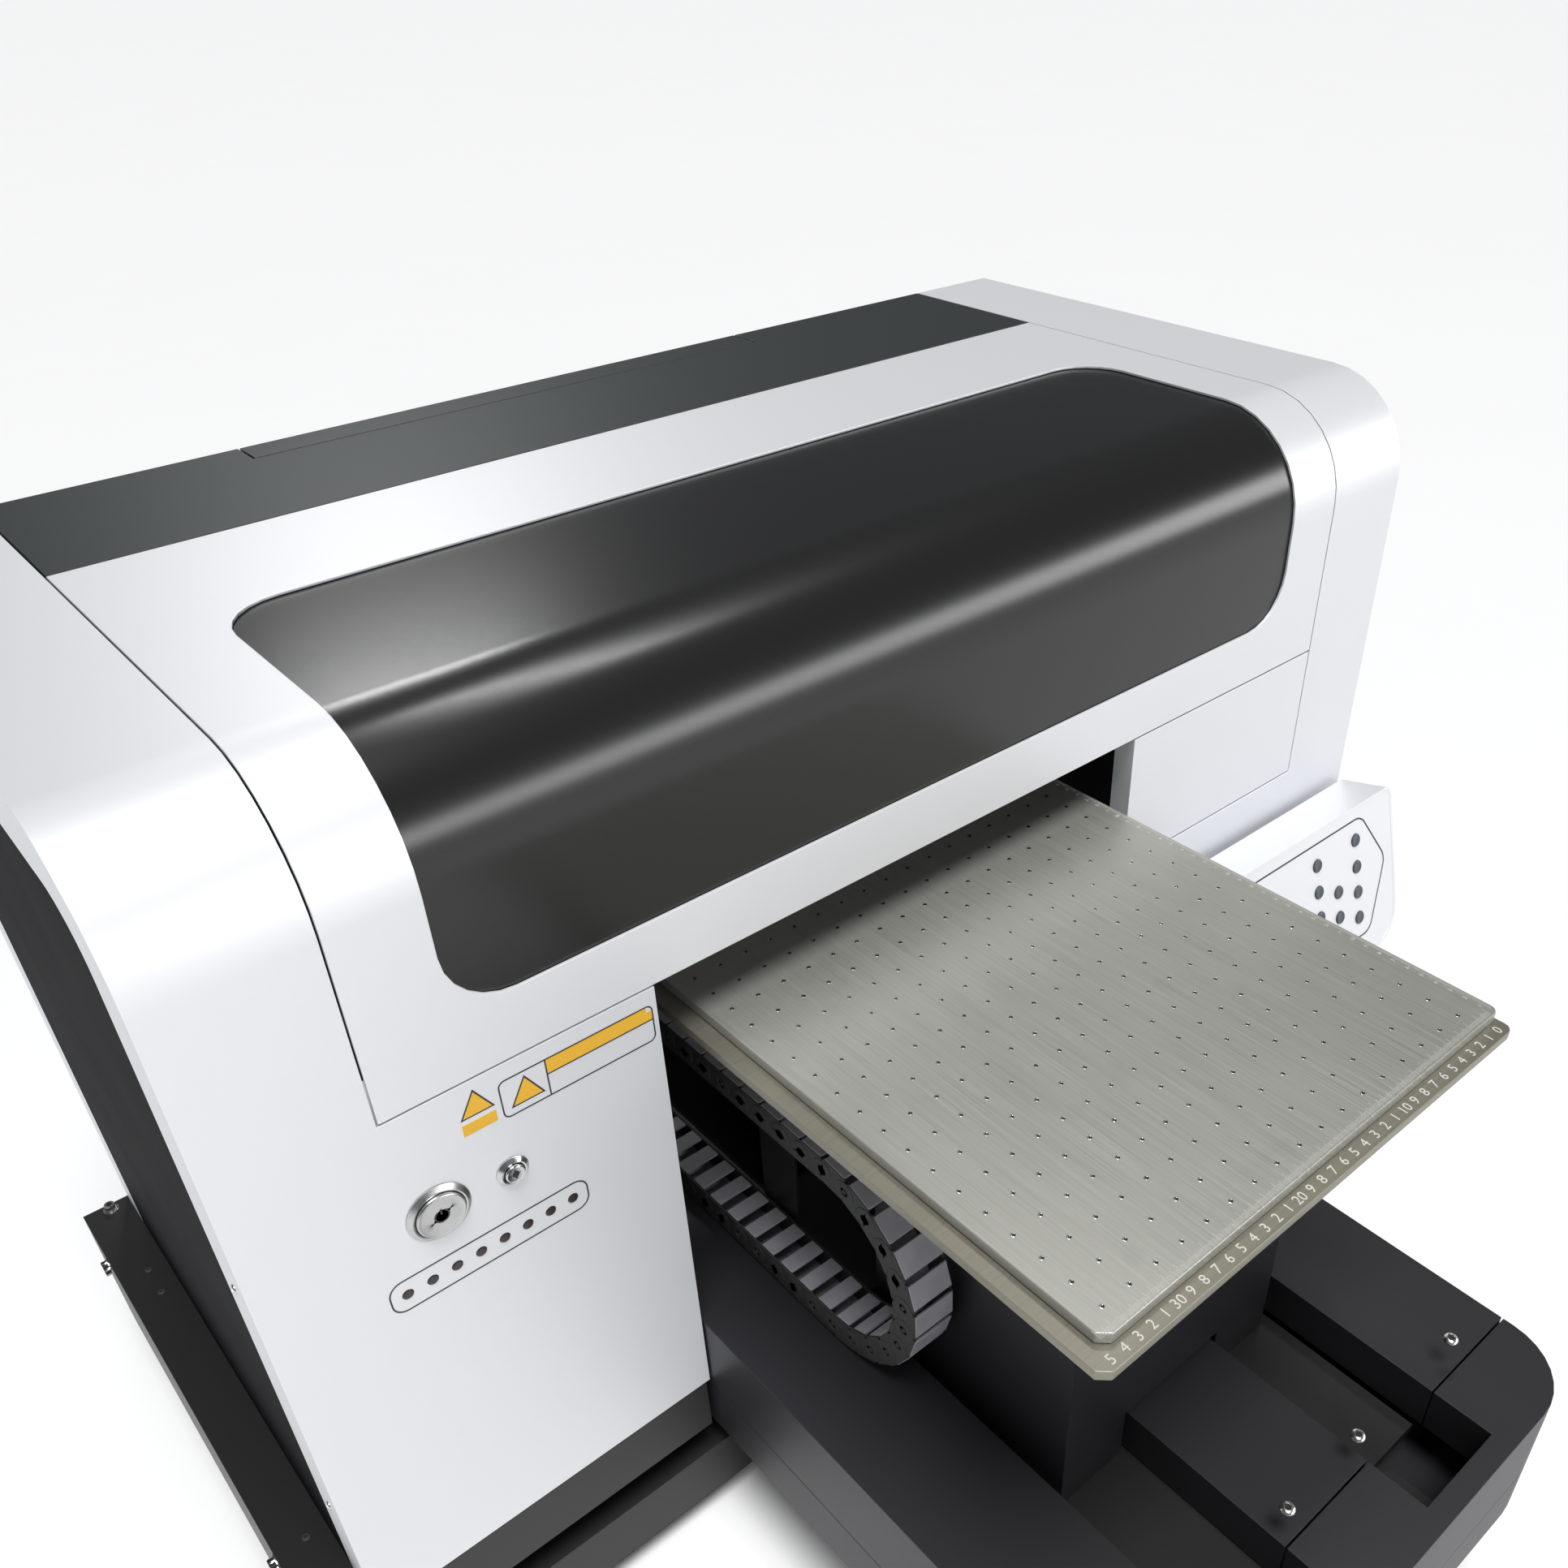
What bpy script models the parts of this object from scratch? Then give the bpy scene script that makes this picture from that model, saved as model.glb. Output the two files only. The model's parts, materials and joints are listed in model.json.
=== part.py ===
"""Flatbed UV printer: a wide bent-sheet housing on a low steel base, with a bed that rides out on a tongue.

X runs to the right, Y to the back and Z up, in metres. The origin is on the floor, under the middle of
the machine's footprint. The bed stands at its loading position, in front of the housing.
"""

import math

import bmesh
import bpy
from mathutils import Matrix, Vector

# ---- Driving dimensions ----------------------------------------------------------------------------

GAP = 0.0003  # between pieces that touch
SEAM = 0.0012  # visible joint between two covers
RUN = 0.001  # clearance of a piece that moves past another
SHEET = 0.002  # covers and shells
OVERLAP = 0.001  # how far shapes that become one piece run into each other
CUT = 0.01  # how far a cutter passes the faces it cuts

# Overall
DEPTH = 0.9016
HEIGHT = 0.7188
HOUSING_HALF = 0.488
HOUSING_DEPTH = 0.4715
FILLET_R = 0.075  # housing's front top edge
FILLET_STEPS = 8
RETURN = 0.040  # side return of the shells
JAMB = 0.018  # flange round the bed opening
PANEL_BOTTOM = 0.1544  # white panels stand on this level

# Bed: the lane, the tongue and the levels over the bed are all taken from it
LANE_X = -0.0231
BED_HALF = 0.1851
BED_DEPTH = 0.500
LANE_CLEARANCE = 0.0247  # from the bed's side to the lane's wall
TONGUE_CLEARANCE = 0.0014  # from the tongue's side to the lane's wall
HEAD_DROP = 0.1968  # from the top of the housing to the head's face
BED_DROP = 0.0584  # from the head's face to the bed's underside
BASE_PLATE = 0.0068
TOP_PLATE = 0.0080
BED_FRONT = 0.1036  # from the tongue's nose back to the bed's front edge
TOP_INSET_FRONT = 0.0108
TOP_INSET_LEFT = 0.0112
CORNER_CHAMFER = 0.006

# Hood, window, strip and doors
SHELL_BAND = 0.0866  # full-height skin beside the hood
HOOD_DROP = 0.1951  # from the top of the housing to the hood's lower edge
STRIP_DEPTH = 0.1442  # from the hood's hinge to the back
WINDOW_SIDE = 0.0514  # white border round the window
WINDOW_BORDER = 0.0437
WINDOW_BEHIND = 0.1133
WINDOW_R = 0.038
WINDOW_LAP = 0.012  # hidden border behind the hood's skin
WINDOW_SHEET = 0.003
REAR_DOOR_LAP = (0.0006, 0.0033)  # past the lane's left and right walls
REAR_DOOR_DROP = 0.1588  # from the top of the housing
REAR_DOOR_TOP_LEG = 0.027
REAR_LINTEL_DROP = 0.1788
SIDE_DOOR_DROP = 0.1129  # from the hood's lower edge
TUNNEL_DROP = 0.010  # top of the lane's walls, below the hood

# Base
LEDGE_OUT = 0.035  # how far the side frames stand out past the housing
SILL_DROP = 0.050
RAIL_BOTTOM = 0.0224
RAIL_TOP = 0.0744
RAIL_DEPTH = 0.045
RAIL_WALL = 0.003
LEDGE_WIDTH = 0.075
FRAME_SHEET = 0.003
FOOT_R = 0.022
FOOT_INSET = 0.083
TRAY_SETBACK = 0.030
TRAY_TOP = 0.0994
BOLT_R = 0.0065
BOLT_HEAD = 0.005
BOLT_INSETS = (0.0835, 0.0550)  # from the housing's front, and from its back
BOLT_DROP = 0.013  # below the ledge

# Tongue
TONGUE_BOTTOM = 0.0997
TONGUE_SPLIT = 0.1464  # joint between the tongue's base and its covers
TONGUE_WALL = 0.003
DECK_TOP = 0.2182
TONGUE_SHORT = 0.0108  # from the housing's back to the tongue's back end
NOSE_R = 0.050
NOSE_STEPS = 8
CAP_SEAM = 0.0583  # from the nose back to the joint of the cap
SLOT_FRONT = 0.0157  # from the nose back to the slots
SLOT_IN = 0.0435  # slot edges, from the middle of the lane
SLOT_OUT = 0.1190
SLOT_SHORT = 0.1158  # from the housing's back to the slots' back end
SLOT_FLOOR = 0.180

# Pedestal, carriage and screws
PEDESTAL_SIDE = 0.0124  # from the slots' outer edges to the pedestal's sides
PEDESTAL_FRONT = 0.0786  # from the bed's front edge
PEDESTAL_DEPTH = 0.180
NOTCH_SIDE = 0.004  # past the spine
NOTCH_CLEARANCE = 0.0047
REAR_LINTEL = 0.020
CARRIAGE_FRONT = 0.0628  # from the tongue's nose
CARRIAGE_TAIL = 0.0286  # behind the pedestal
CARRIAGE_PLATE = 0.008
BEARING = 0.024
BEARING_LENGTH = 0.040
BEARING_INSET = (0.030, 0.060)  # from the plate's front and from its back
LEG_SIDE = 0.008  # from the slots' inner edges
LEG_CLEARANCE = 0.006  # inside the pedestal's walls
LEG_HALF = 0.060
GUIDE_W = 0.020
GUIDE_H = 0.012
GUIDE_AHEAD = 0.045  # past the carriage, in front
GUIDE_BEHIND = 0.060  # past the slots, behind
SCREW_R = 0.006
SCREW_UP = 0.0176  # screw's middle over the tongue's base
SCREW_NUT = 0.020
Y_MOTOR = 0.035
Y_MOTOR_BACK = 0.010  # past the guides
LIFT_SCREW_R = 0.007
LIFT_NUT_R = 0.018
LIFT_NUT_H = 0.050
LIFT_SCREW_SHORT = 0.006  # below the pedestal's top sheet
LIFT_MOTOR = 0.042
LIFT_MOTOR_H = 0.048
LIFT_MOTOR_SIDE = 0.020  # from the screw
BRIDGE_PLATE = 0.008
BRIDGE_LIFT = 0.0031  # over the pedestal's notch
BRIDGE_HALF = 0.065
BRIDGE_CLEARANCE = 0.003
TAIL = (0.040, 0.010)  # bridge's tail, before and behind the pedestal's back
TAIL_SIDE = 0.070
ARM_BEHIND = (0.0786, 0.1186)  # chain's arm, behind the pedestal
ARM_DROP = 0.0636  # below the bed
ARM_SHEET = 0.003

# Drag chain
CHAIN_W = 0.034
CHAIN_H = 0.022
CHAIN_LIFT = 0.0022  # over the deck
CHAIN_ROOM = 0.0712  # from the chain up to the bed
CHAIN_SIDE = 0.0084  # from the pedestal
CHAIN_BEND = 0.1794  # middle of the bend, from the pedestal's front
CHAIN_UPPER = 0.300
CHAIN_LOWER = 0.319
CHAIN_STEPS = 16
CHAIN_TAB = (0.2292, 0.2592)  # bracket on the deck, from the middle of the bend

# Gantry and print head
BEAM_INSET = 0.078  # from the housing's side
BEAM = 0.060
BEAM_AHEAD = 0.0566  # from the hood's hinge
BEAM_DROP = 0.1588  # from the top of the housing to the beam's underside
X_RAIL_H = 0.020
X_RAIL_T = 0.012
X_RAIL_SHORT = 0.010
PULLEY_OUT = 0.0215  # past the beam's end
PULLEY_R = 0.012
PULLEY_LIP = 0.002
PULLEY_SHAFT = 0.005
BELT_W = 0.008
BELT_T = 0.0015
BELT_UP = 0.0035  # over the beam
BELT_STEPS = 12
MOUNT_DROP = 0.006
MOUNT_PLATE = 0.016
X_MOTOR = 0.042
PARK_SHIFT = 0.02735  # parked print carriage, inwards from the right tower's middle
CARRIAGE_W = 0.110
CARRIAGE_D = 0.118
CARRIAGE_LIFT = 0.012  # over the head's face
CLAMP_INSET = 0.030
HEAD_INSET = 0.015
LAMP_W = 0.047
LAMP_LIFT = 0.004
STATION_INSET = 0.005
STATION_H = 0.080
STATION_LEG = 0.025

# Panel controls, from the middle of the left tower and down from the hood
POWER_PLACE = (-0.02355, 0.0766)
POWER_R = (0.0190, 0.0150, 0.0160)  # bezel, bore, barrel
SMALL_PLACE = (0.02185, 0.0764)
SMALL_R = (0.0100, 0.0065, 0.0075)
BEZEL_PROUD = 0.003
BEZEL_DEEP = 0.016
BEZEL_CHAMFER = 0.0012
BUTTON_PROUD = 0.0045
LED_PLACE = (0.0009, 0.1230)
LED_HALF = 0.05295
LED_COUNT = 8
LED_R = 0.0032
LED_PROUD = 0.0006
LED_BAR = (0.008, 0.003, 0.007)  # past the end lenses, thickness, half height

# Control box
CONSOLE_SIDE = 0.0153  # from the lane's wall
CONSOLE_TILT = math.radians(15)
CONSOLE_D = 0.045
CONSOLE_H = 0.148
CONSOLE_OUT = 0.0075  # top back edge, from the panel
CONSOLE_DROP = 0.0374  # top back edge, below the side door
CONSOLE_WALL = 0.003
CONSOLE_R_TOP = 0.010
CONSOLE_R_BOTTOM = 0.035
BRACKET_DOWN = (0.024, 0.115)
BRACKET_INSET = 0.070
KEY_R = 0.0058
KEY_PROUD = 0.0015
KEY_DOME = 0.0006
KEY_LENGTH = 0.007
KEY_COLUMNS = (
    (0.1130, (0.0320, 0.0570, 0.0815)),
    (0.0854, (0.0690, 0.0934)),
    (0.0570, (0.0310, 0.0565, 0.0810, 0.1060)),
)  # from the right end; the rows of each column down from the top edge

# Tower contents
INK_CLEARANCE = (0.053, 0.0321)  # from the housing's side, and from the lane
INK_BACK = (0.0707, 0.2107)  # from the housing's front
INK_H = 0.200
ELECTRONICS_CLEARANCE = (0.0283, 0.005)  # from the lane, and from the gantry's post
ELECTRONICS_AHEAD = (0.1658, 0.0408)  # from the housing's back
ELECTRONICS_H = 0.200
ELECTRONICS_LIFT = 0.070
ELECTRONICS_FOOT = 0.015

# Rear inlet
INLET_INSET = 0.188  # from the housing's side
INLET_W = 0.052
INLET_UP = 0.0456  # over the panel's lower edge
INLET_H = 0.032
INLET_D = 0.030
INLET_WALL = 0.004

# ---- Levels and places worked out from them ---------------------------------------------------------

FRONT = DEPTH / 2 - HOUSING_DEPTH
BACK = DEPTH / 2
NOSE = -DEPTH / 2
SKIN_BACK = FRONT + SHEET
INNER_TOP = HEIGHT - SHEET
FLAT_TOP = HEIGHT - FILLET_R  # where the fillet starts on the front face
FRAME_HALF = HOUSING_HALF + LEDGE_OUT
FOOT_X = FRAME_HALF - FOOT_INSET
BOLT_YS = (FRONT + BOLT_INSETS[0], BACK - BOLT_INSETS[1])

LANE_HALF = BED_HALF + LANE_CLEARANCE
LANE_L = LANE_X - LANE_HALF
LANE_R = LANE_X + LANE_HALF
TONGUE_HALF = LANE_HALF - TONGUE_CLEARANCE
TONGUE_BACK = BACK - TONGUE_SHORT
SLOT_BACK = BACK - SLOT_SHORT
CAP_BACK = NOSE + CAP_SEAM

HOOD_HALF = HOUSING_HALF - SHELL_BAND
HOOD_EDGE = HOOD_HALF - SEAM / 2
HOOD_BOTTOM = HEIGHT - HOOD_DROP
HOOD_BACK = BACK - STRIP_DEPTH
WINDOW_HALF = HOOD_HALF - WINDOW_SIDE
WINDOW_BOTTOM = HOOD_BOTTOM + WINDOW_BORDER
WINDOW_BACK = HOOD_BACK - WINDOW_BEHIND
REAR_DOOR_X = (LANE_L - REAR_DOOR_LAP[0], LANE_R + REAR_DOOR_LAP[1])
REAR_DOOR_BOTTOM = HEIGHT - REAR_DOOR_DROP
REAR_OPENING_TOP = HEIGHT - REAR_LINTEL_DROP
SIDE_DOOR_BOTTOM = HOOD_BOTTOM - SIDE_DOOR_DROP

HEAD_BOTTOM = HEIGHT - HEAD_DROP
BED_BOTTOM = HEAD_BOTTOM - BED_DROP
BED_Y = NOSE + BED_FRONT
PLATE_TOP = BED_BOTTOM + BASE_PLATE
BED_TOP = PLATE_TOP + GAP + TOP_PLATE
PEDESTAL_HALF = SLOT_OUT - PEDESTAL_SIDE
PEDESTAL_Y = BED_Y + PEDESTAL_FRONT
PEDESTAL_BACK = PEDESTAL_Y + PEDESTAL_DEPTH
PEDESTAL_MID = PEDESTAL_Y + PEDESTAL_DEPTH / 2
PEDESTAL_TOP = BED_BOTTOM - GAP
NOTCH_HALF = SLOT_IN + NOTCH_SIDE
NOTCH_TOP = DECK_TOP + NOTCH_CLEARANCE
CARRIAGE_BACK = PEDESTAL_BACK + CARRIAGE_TAIL
SCREW_Z = TONGUE_SPLIT + SCREW_UP
BRIDGE_TOP = NOTCH_TOP + BRIDGE_LIFT + BRIDGE_PLATE
ARM_Y = (PEDESTAL_BACK + ARM_BEHIND[0], PEDESTAL_BACK + ARM_BEHIND[1])
ARM_TOP = BED_BOTTOM - ARM_DROP

CHAIN_LOW = DECK_TOP + CHAIN_LIFT + CHAIN_H / 2
CHAIN_R = (BED_BOTTOM - CHAIN_ROOM - CHAIN_H / 2 - CHAIN_LOW) / 2  # middle of the links, round the bend
CHAIN_Z = CHAIN_LOW + CHAIN_R
CHAIN_Y = PEDESTAL_Y + CHAIN_BEND
CHAIN_RIGHT = LANE_X - PEDESTAL_HALF - CHAIN_SIDE
ARM_X = CHAIN_RIGHT + RUN

BEAM_HALF = HOUSING_HALF - BEAM_INSET
BEAM_Y = HOOD_BACK - BEAM_AHEAD
BEAM_Z = HEIGHT - BEAM_DROP
BELT_Y = BEAM_Y + PULLEY_R
BELT_Z = BEAM_Z + BEAM + BELT_UP
PULLEY_X = BEAM_HALF + PULLEY_OUT
CARRIAGE_X = (LANE_R + HOUSING_HALF) / 2 - PARK_SHIFT

PANEL_MID = (LANE_L - HOUSING_HALF) / 2
POWER_AT = (PANEL_MID + POWER_PLACE[0], HOOD_BOTTOM - POWER_PLACE[1])
SMALL_AT = (PANEL_MID + SMALL_PLACE[0], HOOD_BOTTOM - SMALL_PLACE[1])
LED_X = (PANEL_MID + LED_PLACE[0] - LED_HALF, PANEL_MID + LED_PLACE[0] + LED_HALF)
LED_Z = HOOD_BOTTOM - LED_PLACE[1]
CONSOLE_LEFT = LANE_R + CONSOLE_SIDE
CONSOLE_TOP = SIDE_DOOR_BOTTOM - CONSOLE_DROP

INK_X = (INK_CLEARANCE[0] - HOUSING_HALF, LANE_L - INK_CLEARANCE[1])
INK_Y = (FRONT + INK_BACK[0], FRONT + INK_BACK[1])
ELECTRONICS_X = (LANE_R + ELECTRONICS_CLEARANCE[0], BEAM_HALF - BEAM - ELECTRONICS_CLEARANCE[1])
ELECTRONICS_Y = (BACK - ELECTRONICS_AHEAD[0], BACK - ELECTRONICS_AHEAD[1])
INLET_X = (HOUSING_HALF - INLET_INSET, HOUSING_HALF - INLET_INSET + INLET_W)
INLET_Z = (PANEL_BOTTOM + INLET_UP, PANEL_BOTTOM + INLET_UP + INLET_H)

FINISHES = {
    "white": ((0.80, 0.81, 0.84), 0.18, 0.0),
    "black": ((0.018, 0.019, 0.021), 0.45, 0.0),
    "deck": ((0.022, 0.024, 0.028), 0.50, 0.0),
    "strip": ((0.030, 0.038, 0.040), 0.40, 0.0),
    "smoked": ((0.012, 0.012, 0.013), 0.06, 0.0),
    "steel": ((0.52, 0.52, 0.51), 0.35, 1.0),
    "bed": ((0.40, 0.39, 0.35), 0.42, 1.0),
    "plastic": ((0.045, 0.047, 0.050), 0.55, 0.0),
    "key": ((0.055, 0.065, 0.085), 0.35, 0.0),
    "belt": ((0.020, 0.020, 0.020), 0.80, 0.0),
    "lens": ((0.030, 0.020, 0.020), 0.15, 0.0),
    "bottle": ((0.60, 0.58, 0.52), 0.40, 0.0),
}


# ---- Scene ------------------------------------------------------------------------------------------


def start():
    """Empties the scene and makes the collections for the parts and for the cutters."""
    for obj in list(bpy.data.objects):
        bpy.data.objects.remove(obj, do_unlink=True)
    for name in ("flatbed_uv_printer", "cutters"):
        bpy.context.scene.collection.children.link(bpy.data.collections.new(name))


def put(obj, collection):
    for old in list(obj.users_collection):
        old.objects.unlink(obj)
    bpy.data.collections[collection].objects.link(obj)
    return obj


def part(obj, finish):
    """Files an object as a finished part, with a material of its own."""
    colour, roughness, metallic = FINISHES[finish]
    material = bpy.data.materials.new(obj.name + "_" + finish)
    material.use_nodes = True
    shader = material.node_tree.nodes["Principled BSDF"]
    shader.inputs["Base Color"].default_value = (*colour, 1.0)
    shader.inputs["Roughness"].default_value = roughness
    shader.inputs["Metallic"].default_value = metallic
    obj.data.materials.clear()
    obj.data.materials.append(material)
    return put(obj, "flatbed_uv_printer")


def helper(obj):
    """Files an object as a cutter or as a shape that is joined into a part."""
    obj.hide_render = True
    obj.display_type = "WIRE"
    return put(obj, "cutters")


def carrier(name, at):
    """An empty on a joint's axis, which carries the pieces that move with it."""
    empty = bpy.data.objects.new(name, None)
    bpy.data.collections["flatbed_uv_printer"].objects.link(empty)
    empty.location = at
    return empty


def carry(empty, *pieces):
    for piece in pieces:
        piece.parent = empty
        piece.matrix_parent_inverse = Matrix.Translation(empty.location).inverted()


# ---- Shapes -----------------------------------------------------------------------------------------


def mesh_object(name, work):
    mesh = bpy.data.meshes.new(name)
    work.to_mesh(mesh)
    work.free()
    obj = bpy.data.objects.new(name, mesh)
    bpy.context.scene.collection.objects.link(obj)
    return obj


def box(name, low, high):
    """A block between two corners."""
    low = Vector(low)
    high = Vector(high)
    work = bmesh.new()
    bmesh.ops.create_cube(work, size=1.0)
    middle = Matrix.Translation((low + high) / 2)
    bmesh.ops.transform(work, matrix=middle @ Matrix.Diagonal((*(high - low), 1.0)), verts=work.verts)
    return mesh_object(name, work)


def extruded(name, loops, axis, low, high):
    """A flat outline, with its holes, drawn out along an axis.

    X takes (y, z), Y takes (x, z) and Z takes (x, y).
    """
    curve = bpy.data.curves.new(name, "CURVE")
    curve.dimensions = "2D"
    curve.fill_mode = "BOTH"
    curve.extrude = (high - low) / 2
    for points in loops:
        spline = curve.splines.new("POLY")
        spline.points.add(len(points) - 1)
        for point, (u, v) in zip(spline.points, points):
            point.co = (u, v, 0.0, 1.0)
        spline.use_cyclic_u = True
    drawn = bpy.data.objects.new(name + "_outline", curve)
    bpy.context.scene.collection.objects.link(drawn)
    middle = (low + high) / 2
    turns = {
        "X": Matrix(((0, 0, 1, middle), (1, 0, 0, 0), (0, 1, 0, 0), (0, 0, 0, 1))),
        "Y": Matrix(((1, 0, 0, 0), (0, 0, -1, middle), (0, 1, 0, 0), (0, 0, 0, 1))),
        "Z": Matrix.Translation((0, 0, middle)),
    }
    drawn.matrix_world = turns[axis]
    bpy.context.view_layer.update()
    seen = drawn.evaluated_get(bpy.context.evaluated_depsgraph_get())
    mesh = bpy.data.meshes.new_from_object(seen)
    mesh.transform(drawn.matrix_world)
    bpy.data.objects.remove(drawn, do_unlink=True)
    bpy.data.curves.remove(curve)
    work = bmesh.new()
    work.from_mesh(mesh)
    bpy.data.meshes.remove(mesh)
    bmesh.ops.remove_doubles(work, verts=work.verts, dist=1e-6)
    bmesh.ops.recalc_face_normals(work, faces=work.faces)
    return mesh_object(name, work)


def turned(name, profile, at, axis, steps=24, closed=False):
    """A turned piece: (radius, height) points down its outer side, along an axis from a point."""
    points = [(radius, 0.0, height) for radius, height in profile]
    edges = [(k, k + 1) for k in range(len(points) - 1)]
    if closed:
        edges.append((len(points) - 1, 0))
    mesh = bpy.data.meshes.new(name)
    mesh.from_pydata(points, edges, [])
    obj = bpy.data.objects.new(name, mesh)
    bpy.context.scene.collection.objects.link(obj)
    obj.location = at
    obj.rotation_euler = Vector(axis).to_track_quat("Z", "Y").to_euler()
    screw = obj.modifiers.new("Turn", "SCREW")
    screw.steps = steps
    screw.render_steps = steps
    screw.use_merge_vertices = True
    screw.merge_threshold = 0.0001
    screw.use_smooth_shade = True
    return obj


def cylinder(name, radius, at, axis, low, high, steps=24):
    """A plain round piece between two heights along an axis through a point."""
    return turned(name, [(0.0, high), (radius, high), (radius, low), (0.0, low)], at, axis, steps)


def ring(name, outer, inner, at, axis, low, high, steps=24):
    profile = [(inner, high), (outer, high), (outer, low), (inner, low)]
    return turned(name, profile, at, axis, steps, closed=True)


def boolean(obj, other, operation):
    modifier = obj.modifiers.new(operation.title(), "BOOLEAN")
    modifier.operation = operation
    modifier.object = helper(other)


def join(obj, *others):
    for other in others:
        boolean(obj, other, "UNION")
    return obj


def cut(obj, *others):
    for other in others:
        boolean(obj, other, "DIFFERENCE")
    return obj


def rectangle(low_u, low_v, high_u, high_v):
    return [(low_u, low_v), (high_u, low_v), (high_u, high_v), (low_u, high_v)]


def rounded(low_u, low_v, high_u, high_v, radii, steps=6):
    """A rectangle with rounded corners: radii at low-low, high-low, high-high and low-high."""
    corners = (
        (low_u, low_v, 1, 1, math.pi),
        (high_u, low_v, -1, 1, 1.5 * math.pi),
        (high_u, high_v, -1, -1, 0.0),
        (low_u, high_v, 1, -1, 0.5 * math.pi),
    )
    points = []
    for (u, v, side_u, side_v, first), radius in zip(corners, radii):
        if radius == 0:
            points.append((u, v))
            continue
        for k in range(steps + 1):
            angle = first + k * math.pi / 2 / steps
            across = u + side_u * radius + radius * math.cos(angle)
            points.append((across, v + side_v * radius + radius * math.sin(angle)))
    return points


def circle(u, v, radius, count=16):
    turn = 2 * math.pi / count
    return [(u + radius * math.cos(k * turn), v + radius * math.sin(k * turn)) for k in range(count)]


def skin_path(inset, bottom, back):
    """Points up the housing's front, round its fillet and back over its top, inset from the outer skin."""
    radius = FILLET_R - inset
    points = [(FRONT + inset, bottom)]
    for k in range(FILLET_STEPS + 1):
        angle = k * math.pi / 2 / FILLET_STEPS
        across = FRONT + FILLET_R - radius * math.cos(angle)
        points.append((across, FLAT_TOP + radius * math.sin(angle)))
    points.append((back, HEIGHT - inset))
    return points


def skin_band(name, outer, inner, bottom, back, low_x, high_x):
    """A band between two insets of the housing's section, drawn out along X."""
    outline = skin_path(outer, bottom, back) + skin_path(inner, bottom, back)[::-1]
    return extruded(name, [outline], "X", low_x, high_x)


def bent_sheet(name, loops, inset, thickness):
    """A flat sheet bent along the housing's section.

    Loops hold (x, length along the skin from PANEL_BOTTOM).
    """
    flat = extruded(name, loops, "Z", 0.0, thickness)
    work = bmesh.new()
    work.from_mesh(flat.data)
    bend_start = FLAT_TOP - PANEL_BOTTOM
    step = FILLET_R * math.pi / 2 / FILLET_STEPS
    for k in range(FILLET_STEPS + 1):
        bmesh.ops.bisect_plane(
            work,
            geom=work.verts[:] + work.edges[:] + work.faces[:],
            plane_co=(0.0, bend_start + k * step, 0.0),
            plane_no=(0.0, 1.0, 0.0),
        )
    for vert in work.verts:
        along = vert.co.y - bend_start
        depth = inset + vert.co.z
        angle = min(max(along / FILLET_R, 0.0), math.pi / 2)
        radius = FILLET_R - depth
        past = max(along - FILLET_R * math.pi / 2, 0.0)
        below = min(along, 0.0)
        across = FRONT + FILLET_R - radius * math.cos(angle) + past
        vert.co = (vert.co.x, across, FLAT_TOP + radius * math.sin(angle) + below)
    bmesh.ops.triangulate(work, faces=[face for face in work.faces if len(face.verts) > 4])
    bmesh.ops.recalc_face_normals(work, faces=work.faces)
    work.to_mesh(flat.data)
    work.free()
    return flat


def skin_length(back):
    """Length along the skin from PANEL_BOTTOM to a place on the top."""
    return FLAT_TOP - PANEL_BOTTOM + FILLET_R * math.pi / 2 + back - FRONT - FILLET_R


# ---- Base -------------------------------------------------------------------------------------------


def side_frame(name, side):
    """A formed side of the base, with its ledge, its front sill and its bolts. side is -1 or 1."""

    def across(name_here, near, far, low_y, high_y, low_z, high_z):
        ends = sorted((side * near, side * far))
        return box(name_here, (ends[0], low_y, low_z), (ends[1], high_y, high_z))

    inner = FRAME_HALF - FRAME_SHEET
    lane_edge = LANE_R + SHEET if side > 0 else -LANE_L + SHEET
    frame = across(name, inner, FRAME_HALF, FRONT, BACK, RAIL_BOTTOM, PANEL_BOTTOM - GAP)
    ledge_low = PANEL_BOTTOM - GAP - FRAME_SHEET
    foot_high = RAIL_BOTTOM + FRAME_SHEET
    near = FRAME_HALF - LEDGE_WIDTH
    far = inner + OVERLAP
    rails = (FRONT + RAIL_DEPTH + RUN, BACK - RAIL_DEPTH - RUN)
    sill_low = PANEL_BOTTOM - GAP - SILL_DROP
    pieces = [
        across(name + "_ledge", near, far, FRONT + OVERLAP, BACK, ledge_low, PANEL_BOTTOM - GAP),
        across(name + "_flange", near, far, *rails, RAIL_BOTTOM, foot_high),
        across(name + "_sill", lane_edge + RUN, far, FRONT, FRONT + SHEET, sill_low, PANEL_BOTTOM - GAP),
    ]
    for k, bolt_y in enumerate(BOLT_YS):
        at = (side * FRAME_HALF, bolt_y, PANEL_BOTTOM - BOLT_DROP)
        bolt = cylinder(f"{name}_bolt_{k}", BOLT_R, at, (side, 0, 0), -OVERLAP, BOLT_HEAD, 6)
        pieces.append(bolt)
    return part(join(frame, *pieces), "black")


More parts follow.
